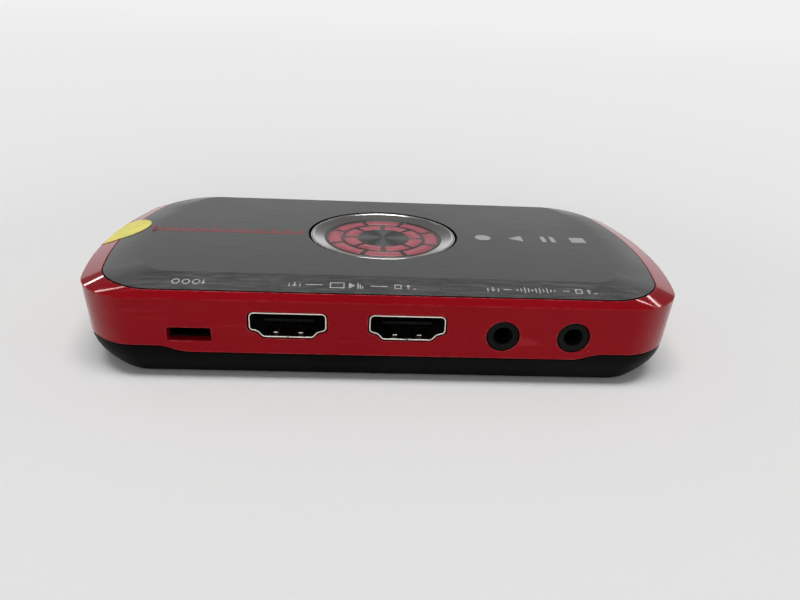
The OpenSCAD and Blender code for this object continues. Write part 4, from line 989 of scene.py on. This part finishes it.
def makeCoverPlate():
    look = plateLook
    bm = bmesh.new()
    rings = drawStack(bm, (
        foldOutline(plateTop - look["thick"]),
        plateOutline(0, plateEdge - look["thick"]),
        plateOutline(0, plateEdge),
        foldOutline(plateTop),
    ))
    roundRing(bm, rings[3], look["foldRound"], look["foldSteps"])
    plate = toObject("coverPlate", bm)
    hole = bmesh.new()
    radius, steps = shellLook["buttonHole"], shellLook["holeSteps"]
    drawDrum(hole, 0, 0, plateTop - look["holeReach"], plateTop + 2 * over, radius, steps)
    carve(plate, (("DIFFERENCE", hole),))
    soften(plate, look["edgeRound"])
    dress(plate, "case", "plate_metal", "top_plate")
    plate.data.materials.append(coat["paintedShadeBlack"])  # painted shade: the cut edge is coloured black, as it lies in shadow
    for face in plate.data.polygons:
        face.material_index = int(abs(face.normal.z) < look["cutFacing"])


makeCoverPlate()
print("cover plate made")

discLook = {
    "rows": ((5.9, 9.0, 0.0), (9.6, 12.6, 0.5)),  # inner and outer radius, and turn in window steps
    "count": 8,
    "spoke": 0.8,
    "sink": 0.32,  # depth of the disc's face below its place in the frame
    "fill": 0.05,  # depth of the guide's windows below the disc's face
    "fillGap": 0.03,
    "edgeRound": 0.06,
    "edgeAngle": 50,
    "windowSteps": 14,
    "steps": 128,
}


def drawWindows(bm, z0, z1, shrink):
    look = discLook
    step = 2 * math.pi / look["count"]
    for inner, outer, turn in look["rows"]:
        edge = (look["spoke"] + 2 * shrink) / (inner + outer)  # half a spoke as an angle
        near, far = inner + shrink, outer - shrink
        for k in range(look["count"]):
            start = Matrix.Rotation(step * (k + turn) + edge, 4, "Z")
            corners = ((near, z0), (far, z0), (far, z1), (near, z1))
            verts = [bm.verts.new(start @ Vector((r, 0, z))) for r, z in corners]
            face = bm.faces.new(verts)
            bmesh.ops.spin(bm, geom=verts + list(face.edges) + [face], cent=(0, 0, 0), axis=(0, 0, 1),
                           angle=step - 2 * edge, steps=look["windowSteps"])


def makeButtonDisc():
    look = discLook
    low, high = corners("button_inlay")
    bottom, top = low.z - look["sink"], high.z - look["sink"]
    bm = bmesh.new()
    drawDrum(bm, 0, 0, bottom, top, high.x, look["steps"])
    disc = toObject("buttonDisc", bm)
    windows = bmesh.new()
    drawWindows(windows, bottom - over, top + over, 0.0)
    carve(disc, (("DIFFERENCE", windows),))
    soften(disc, look["edgeRound"], angle=look["edgeAngle"])
    dress(disc, "button", "inlay_metal", "button_inlay")
    bm = bmesh.new()
    drawDrum(bm, 0, 0, corners("button_light_guide")[0].z, bottom, high.x, look["steps"])
    drawWindows(bm, bottom, top - look["fill"], look["fillGap"])
    dress(toObject("buttonGuide", bm), "button", "guide_red", "button_light_guide")


ringLook = {
    "bead": 0.22,  # rounding of the outer rim
    "rim": 0.50,  # flat width of the rim
    "rimRound": 0.10,
    "step": (0.24, 0.22),  # width and depth of the steep step inside the rim
    "stepRound": 0.12,
    "roundSteps": 6,
    "discGap": 0.05,
    "turns": 160,
    "sharpAngle": 35,
}


def makeButtonRing():
    look = ringLook
    low, high = corners("button_ring")
    discEdge = corners("button_inlay")[1]
    outer, inner, rim = high.x, discEdge.x + look["discGap"], high.x - look["rim"]
    stepWidth, stepDepth = look["step"]
    line = [
        (inner, low.z), (outer, low.z), (outer, high.z), (rim, high.z),
        (rim - stepWidth, high.z - stepDepth), (inner, discEdge.z - discLook["sink"]),
    ]
    bm = bmesh.new()
    verts = [bm.verts.new((r, 0, z)) for r, z in line]
    for pair in zip(verts, verts[1:] + verts[:1]):
        bm.edges.new(pair)
    for (r, z), width in zip(line[2:5], ("bead", "rimRound", "stepRound")):
        soft = [vert for vert in bm.verts if math.hypot(vert.co.x - r, vert.co.z - z) < touching]
        roundOff(bm, soft, look[width], look["roundSteps"])
    bmesh.ops.spin(bm, geom=list(bm.verts) + list(bm.edges), cent=(0, 0, 0), axis=(0, 0, 1),
                   angle=2 * math.pi, steps=look["turns"], use_merge=True)
    dress(toObject("buttonRing", bm), "button", "ring_chrome", "button_ring", sharp=look["sharpAngle"])


makeButtonRing()
makeButtonDisc()
print("button made")

videoLook = {
    "sheet": 0.25,
    "flare": 0.03,  # outward roll of the mouth
    "flareDepth": 0.35,
    "edgeRound": 0.06,
    "tabPlaces": (-2.36, 2.36),
    "tabWidth": 0.9,
    "tabStart": 0.55,
    "tabLength": 4.2,
    "tabRise": 0.56,
    "tabSpan": (0.12, 0.32),  # heights of the tab's foot above the socket's floor
    "seamWidth": 0.24,
    "seamLength": 0.35,
    "seamDeep": 0.05,  # how far the seam is cut past the sheet
    "shadeFrom": 5.0,  # depth from which the inside is painted dark as shade
    "notchSpan": (0.1, 0.5),
    "notchFacing": -0.9,
    "legPlaces": (0.45, 0.75),
    "legWidth": 1.2,
    "legLow": 6.2,
}


def makeVideoShell(name, node):
    look = videoLook
    low, high = corners(node)
    x, z = (low.x + high.x) / 2, portLook["videoHeight"]
    width, height = portLook["videoSize"][:2]
    sheet, bottom = look["sheet"], z - height / 2
    bm = bmesh.new()
    rings = []
    for y, grow in ((low.y, look["flare"]), (low.y + look["flareDepth"], 0.0), (high.y, 0.0)):
        faces = drawOutline(bm, videoPoints(x, grow), videoRounds, portLook["steps"], y)
        rings.append(list({edge for face in faces for edge in face.edges}))
        bmesh.ops.delete(bm, geom=faces, context="FACES_ONLY")
    for lower, upper in zip(rings, rings[1:]):
        bmesh.ops.bridge_loops(bm, edges=lower + upper)
    bmesh.ops.recalc_face_normals(bm, faces=bm.faces)
    bmesh.ops.solidify(bm, geom=list(bm.faces), thickness=sheet)
    near, foot, top = low.y + look["tabStart"], *(bottom + rise for rise in look["tabSpan"])
    for offset in look["tabPlaces"]:
        left, right = (x + offset + s * look["tabWidth"] / 2 for s in (-1, 1))
        for vert in drawBox(bm, (left, near, foot), (right, near + look["tabLength"], top)):
            if vert.co.y < near + look["tabLength"] / 2:
                vert.co.z += look["tabRise"]
    for share in look["legPlaces"]:
        y = low.y + (high.y - low.y) * share
        front, back = y - look["legWidth"] / 2, y + look["legWidth"] / 2
        for s in (-1, 1):
            edge = x + s * (width / 2 - sheet / 2)
            drawBox(bm, (edge - sheet / 2, front, look["legLow"]), (edge + sheet / 2, back, z))
    shell = toObject(name, bm)
    seam = bmesh.new()
    drawBox(seam, (x - look["seamWidth"] / 2, low.y - 2 * over, bottom - over),
            (x + look["seamWidth"] / 2, low.y + look["seamLength"], bottom + sheet + look["seamDeep"]))
    carve(shell, (("DIFFERENCE", seam),))
    soften(shell, look["edgeRound"])
    dress(shell, "case", "socket_nickel", node)
    # painted shade: faces deep inside the socket and the back of the seam's notch are coloured dark
    shell.data.materials.append(coat["paintedSocketShade"])
    notchNear, notchFar = (low.y + depth for depth in look["notchSpan"])
    for face in shell.data.polygons:
        spot = face.center / mm
        inward = (spot - Vector((x, spot.y, z))).dot(face.normal) < 0
        inside = inward and spot.y > low.y + look["shadeFrom"]
        notch = face.normal.y < look["notchFacing"] and notchNear < spot.y < notchFar
        face.material_index = int(inside or notch)


for side in ("in", "out"):
    makeVideoShell("video%sShell" % side.title(), "video_%s_shell" % side)

insertLook = {
    "plug": 3.0,  # depth of the block that closes the socket's back
    "tongueWidth": 9.6,
    "tongueThick": 0.62,
    "tongueUp": 0.10,  # height of the tongue's middle above the socket's
    "pins": 10,
    "pinPitch": 0.88,
    "pinWidth": 0.45,
    "pinThick": 0.06,
    "pinBack": 6.0,  # distance of the contacts from the tongue's tip
    "clear": 0.04,  # gap between block and sheet
    "root": 0.2,  # how far tongue and contacts reach into the block
    "plugRound": (0.3, 3),
    "edgeRound": 0.10,
}


def makeVideoInsert(name, node, contacts):
    look = insertLook
    low, high = corners(node)
    x, z = (low.x + high.x) / 2, portLook["videoHeight"]
    blockFront = high.y - look["plug"]
    rooted = blockFront + look["root"]
    bm = bmesh.new()
    shape = videoPoints(x, -videoLook["sheet"] - look["clear"])
    drawPrism(bm, shape, *look["plugRound"], blockFront, high.y)
    under = z + look["tongueUp"] - look["tongueThick"] / 2
    above = under + look["tongueThick"]
    wide = look["tongueWidth"] / 2
    drawBox(bm, (x - wide, low.y, under), (x + wide, rooted, above))
    insert = toObject(name + "Insert", bm)
    soften(insert, look["edgeRound"])
    dress(insert, "case", "black_plastic", node)
    bm = bmesh.new()
    wide, thick = look["pinWidth"] / 2, look["pinThick"]
    for k in range(look["pins"]):
        spot = x + (k - (look["pins"] - 1) / 2) * look["pinPitch"]
        for foot in (above, under - thick):
            drawBox(bm, (spot - wide, low.y + look["pinBack"], foot), (spot + wide, rooted, foot + thick))
    dress(toObject(name + "Contacts", bm), "case", "contact_gold", contacts)


for side in ("in", "out"):
    makeVideoInsert("video" + side.title(), "video_%s_insert" % side, "video_%s_contacts" % side)

copyLook = {  # name, body and finish of each copy, width of its rounding and steps of that
    "audio_in_jack": ("audioInJack", "case", "black_plastic", 0.22, 3),
    "audio_out_jack": ("audioOutJack", "case", "black_plastic", 0.22, 3),
    "data_shell": ("dataShell", "case", "socket_nickel", 0.06, 2),
    "av_in_shell": ("avShell", "case", "black_plastic", 0.06, 2),
    "base_shell": ("baseTray", "case", "black_satin", 0.15, 2, "MITER_SHARP"),
    "rubber_feet": ("rubberFeet", "case", "foot_rubber", 0.45, 3),
    "case_screws": ("caseScrews", "case", "screw_steel", 0.10, 2),
    "mode_switch_knob": ("modeKnob", "mode_knob", "black_plastic", 0.16, 3),
}
for node, row in copyLook.items():
    softCopy(node, *row)
print("sockets, base and knob made")

printLook = {
    "thick": 0.03,
    "sunk": 0.012,
    "stroke": 0.24,
    "sharpAngle": 30,
    "arrowShaft": 0.1,  # end of an arrow's shaft from its middle, as a share of its height
    "arrowHead": (0.36, 0.06),  # half width and start of its head, as shares too
}
legendLook = {
    "place": -29.65,  # y of the middle of the legend row on the front slope
    "tall": 1.75,
    "small": 1.35,
    "dashes": ((-15.0, -11.8), (-2.7, 0.5), (22.75, 24.2), (34.3, 35.6)),
    "inPlaces": (-17.0, 20.7),
    "inSides": (0.75, 0.2),  # place and top of the bars beside the arrow, as shares of the small height
    "outPlaces": (3.9, 38.75),
    "outFrame": (-2.1, -0.7),
    "outArrow": 0.55,
    "outDash": (1.5, 2.1),
    "screenPlace": -7.3,
    "screenFrame": (-3.1, -0.3),
    "playSpan": (0.5, 1.7),
    "stairs": (2.1, 0.42, (0.5, 0.22, -0.06)),  # start, pitch and tops as shares of the tall height
    "wavePlace": 29.2,
    "wave": (-3.9, 0.72),  # start and pitch of its bars
    "waveHeights": (0.3, 0.55, 1.0, 0.7, 0.4, 0.8, 1.0, 0.6, 0.85, 0.45, 0.3),
    "avPlace": -36.8,
    "plugs": (-2.3, 1.9, 3),  # start, pitch and count
    "plugShape": (0.44, 28),  # radius as a share of the tall height, and steps
    "avArrow": 2.8,
}
signLook = {
    "places": (22.9, 30.5, 38.05, 45.0),
    "size": 3.8,
    "y": -0.94,
    "record": (0.48, 40),  # radius as a share of the size, and steps
    "play": (0.45, 0.40),  # tip and back from the middle, as shares
    "pause": (0.28, 0.5),  # place of the bars as a share, and their half width
    "stop": 0.45,
}
scaleLook = {
    "span": (-51.5, -18.4),
    "count": 41,
    "y": -0.8,
    "heights": (2.9, 1.3, 1.9, 1.3),
    "stroke": 0.36,
    "low": -1.3,
    "base": 0.3,  # height of the line below the ticks
}


def patch(bm, points):
    return bm.faces.new([bm.verts.new((u, v, 0)) for u, v in points])


def bar(bm, u0, v0, u1, v1):
    return patch(bm, ((u0, v0), (u1, v0), (u1, v1), (u0, v1)))


def hollow(bm, face, stroke):  # leaves a rim of the stroke's width
    face.normal_update()
    bmesh.ops.inset_region(bm, faces=[face], thickness=stroke, use_even_offset=True, use_boundary=True)
    bmesh.ops.delete(bm, geom=[face], context="FACES")


def dot(bm, u, radius, steps):
    spot = Matrix.Translation((u, 0, 0))
    made = bmesh.ops.create_circle(bm, cap_ends=True, segments=steps, radius=radius, matrix=spot)
    return made["verts"][0].link_faces[0]


def tick(bm, u, v0, v1, stroke=printLook["stroke"]):  # upright bar with its middle at u
    return bar(bm, u - stroke / 2, v0, u + stroke / 2, v1)


def arrow(bm, u, size, way):
    wide, neck = (size * share for share in printLook["arrowHead"])
    tick(bm, u, -way * size / 2, way * size * printLook["arrowShaft"])
    patch(bm, ((u - wide, way * neck), (u + wide, way * neck), (u, way * size / 2)))


def lay(name, bm, frameMatrix, finish):
    look = printLook
    for face in bm.faces:
        if face.normal.z < 0:
            face.normal_flip()
    bm.normal_update()
    pull(bm, list(bm.faces), (0, 0, look["thick"]))
    place = frameMatrix @ Matrix.Translation((0, 0, -look["sunk"]))
    bmesh.ops.transform(bm, matrix=place, verts=bm.verts)
    dress(toObject(name, bm), "case", finish, sharp=look["sharpAngle"])


def slopeFrame(y):  # u along X, v up the front slope
    up = Vector((0, plateLook["slopeFront"], plateLook["rise"])).normalized()
    share = (y + plateHalf.y) / plateLook["slopeFront"]
    spot = Vector((0, y, plateEdge + share * plateLook["rise"]))
    out = Vector((1, 0, 0)).cross(up)
    return Matrix.Translation(spot) @ Matrix((Vector((1, 0, 0)), up, out)).transposed().to_4x4()


def makeLegends():
    look, stroke = legendLook, printLook["stroke"]
    tall, small = look["tall"], look["small"]
    bm = bmesh.new()
    for start, stop in look["dashes"]:
        bar(bm, start, -stroke / 2, stop, stroke / 2)
    apart, top = (small * share for share in look["inSides"])
    for u in look["inPlaces"]:
        arrow(bm, u, small, -1)
        for s in (-1, 1):
            tick(bm, u + s * apart, -small / 2, top)
    for u in look["outPlaces"]:
        left, right = look["outFrame"]
        hollow(bm, bar(bm, u + left, -small / 2, u + right, small / 2), stroke)
        arrow(bm, u + look["outArrow"], small, 1)
        left, right = look["outDash"]
        bar(bm, u + left, -small / 2, u + right, -small / 2 + stroke)
    u = look["screenPlace"]
    left, right = look["screenFrame"]
    hollow(bm, bar(bm, u + left, -tall / 2, u + right, tall / 2), stroke)
    left, tip = look["playSpan"]
    patch(bm, ((u + left, -tall / 2), (u + tip, 0), (u + left, tall / 2)))
    start, pitch, tops = look["stairs"]
    for k, share in enumerate(tops):
        left = u + start + pitch * k
        bar(bm, left, -tall / 2, left + stroke, tall * share)
    u = look["wavePlace"]
    start, pitch = look["wave"]
    for k, share in enumerate(look["waveHeights"]):
        left = u + start + pitch * k
        bar(bm, left, -tall * share / 2, left + stroke, tall * share / 2)
    u = look["avPlace"]
    start, pitch, count = look["plugs"]
    share, steps = look["plugShape"]
    for k in range(count):
        hollow(bm, dot(bm, u + start + pitch * k, tall * share, steps), stroke)
    arrow(bm, u + look["avArrow"], small, -1)
    lay("frontLegends", bm, slopeFrame(look["place"]), "greyInk")


def makeTopSigns():
    look, size = signLook, signLook["size"]
    record, play, pause, stop = look["places"]
    bm = bmesh.new()
    share, steps = look["record"]
    dot(bm, record, size * share, steps)
    tip, back = (size * share for share in look["play"])
    patch(bm, ((play - tip, 0), (play + back, -size / 2), (play + back, size / 2)))
    share, wide = look["pause"]
    for s in (-1, 1):
        tick(bm, pause + s * size * share, -size / 2, size / 2, 2 * wide)
    edge = size * look["stop"]
    bar(bm, stop - edge, -edge, stop + edge, edge)
    lay("topSigns", bm, Matrix.Translation((0, look["y"], plateTop)), "silverInk")


def makeTopScale():
    look, low = scaleLook, scaleLook["low"]
    start, stop = look["span"]
    bm = bmesh.new()
    for k in range(look["count"]):
        u = start + (stop - start) * k / (look["count"] - 1)
        tick(bm, u, low, low + look["heights"][k % len(look["heights"])], look["stroke"])
    bar(bm, start, low - look["base"], stop, low)
    lay("topScale", bm, Matrix.Translation((0, look["y"], plateTop)), "redInk")


makeLegends()
makeTopSigns()
makeTopScale()
print("prints laid")

stickerLook = {
    "radius": 7.4,
    "middle": (3.0, 2.1),  # distance outside the plate's edge along the surface, and y
    "sides": 64,
    "rings": 14,
    "lift": 0.05,
    "thick": 0.09,
    "smoothing": (3, 0.5),  # rounds and strength
    "sharpAngle": 50,
}


def endProfile(y):  # from the plate's fold over its edge, the bevel and the rim down the left end
    look = shellLook
    stations = (
        foldOutline(plateTop),
        plateOutline(0, plateEdge),
        plateOutline(look["plateGap"] + look["land"], plateEdge - look["landDrop"]),
        caseOutline(0, rimHeight),
        caseOutline(look["draft"], look["partingLow"]),
    )
    return [Vector((-x * bowShare(y, deep), y, z)) for x, deep, radius, z in stations]


def ontoEnd(along, y, lift):  # along is counted outwards from the plate's edge
    line = endProfile(y)
    along += (line[1] - line[0]).length
    for start, stop in zip(line, line[1:]):
        length = (stop - start).length
        if along <= length or stop is line[-1]:
            way = (stop - start) / length
            return start + along * way + lift * Vector((way.z, 0, -way.x)).normalized()
        along -= length


def makeSticker():
    look = stickerLook
    bm = bmesh.new()
    bmesh.ops.create_circle(bm, cap_ends=True, segments=look["sides"], radius=look["radius"])
    for ring in range(look["rings"] - 1):
        core = [face for face in bm.faces if len(face.verts) > 4]
        bmesh.ops.inset_region(bm, faces=core, thickness=look["radius"] / look["rings"], use_even_offset=True,
                               use_boundary=True)
    bmesh.ops.poke(bm, faces=[face for face in bm.faces if len(face.verts) > 4])
    out, y = look["middle"]
    for vert in bm.verts:
        vert.co = ontoEnd(vert.co.x + out, vert.co.y + y, look["lift"])
    rounds, strength = look["smoothing"]
    inner = [vert for vert in bm.verts if not vert.is_boundary]
    for turn in range(rounds):
        bmesh.ops.smooth_vert(bm, verts=inner, factor=strength,
                              use_axis_x=True, use_axis_y=True, use_axis_z=True)
    bmesh.ops.recalc_face_normals(bm, faces=bm.faces)
    if sum(face.normal.z * face.calc_area() for face in bm.faces) < 0:
        bmesh.ops.reverse_faces(bm, faces=bm.faces)
    bmesh.ops.solidify(bm, geom=list(bm.faces), thickness=-look["thick"])
    dress(toObject("roundSticker", bm), "case", "yellowPaper", sharp=look["sharpAngle"])


makeSticker()
print("sticker laid")

for row in frame["record"]["subparts"]:
    node = nodes[row["node"]]
    node.data.materials.clear()
    node.data.materials.append(coat[row["material_slot"]])
print("finishes put on the carried-over nodes")
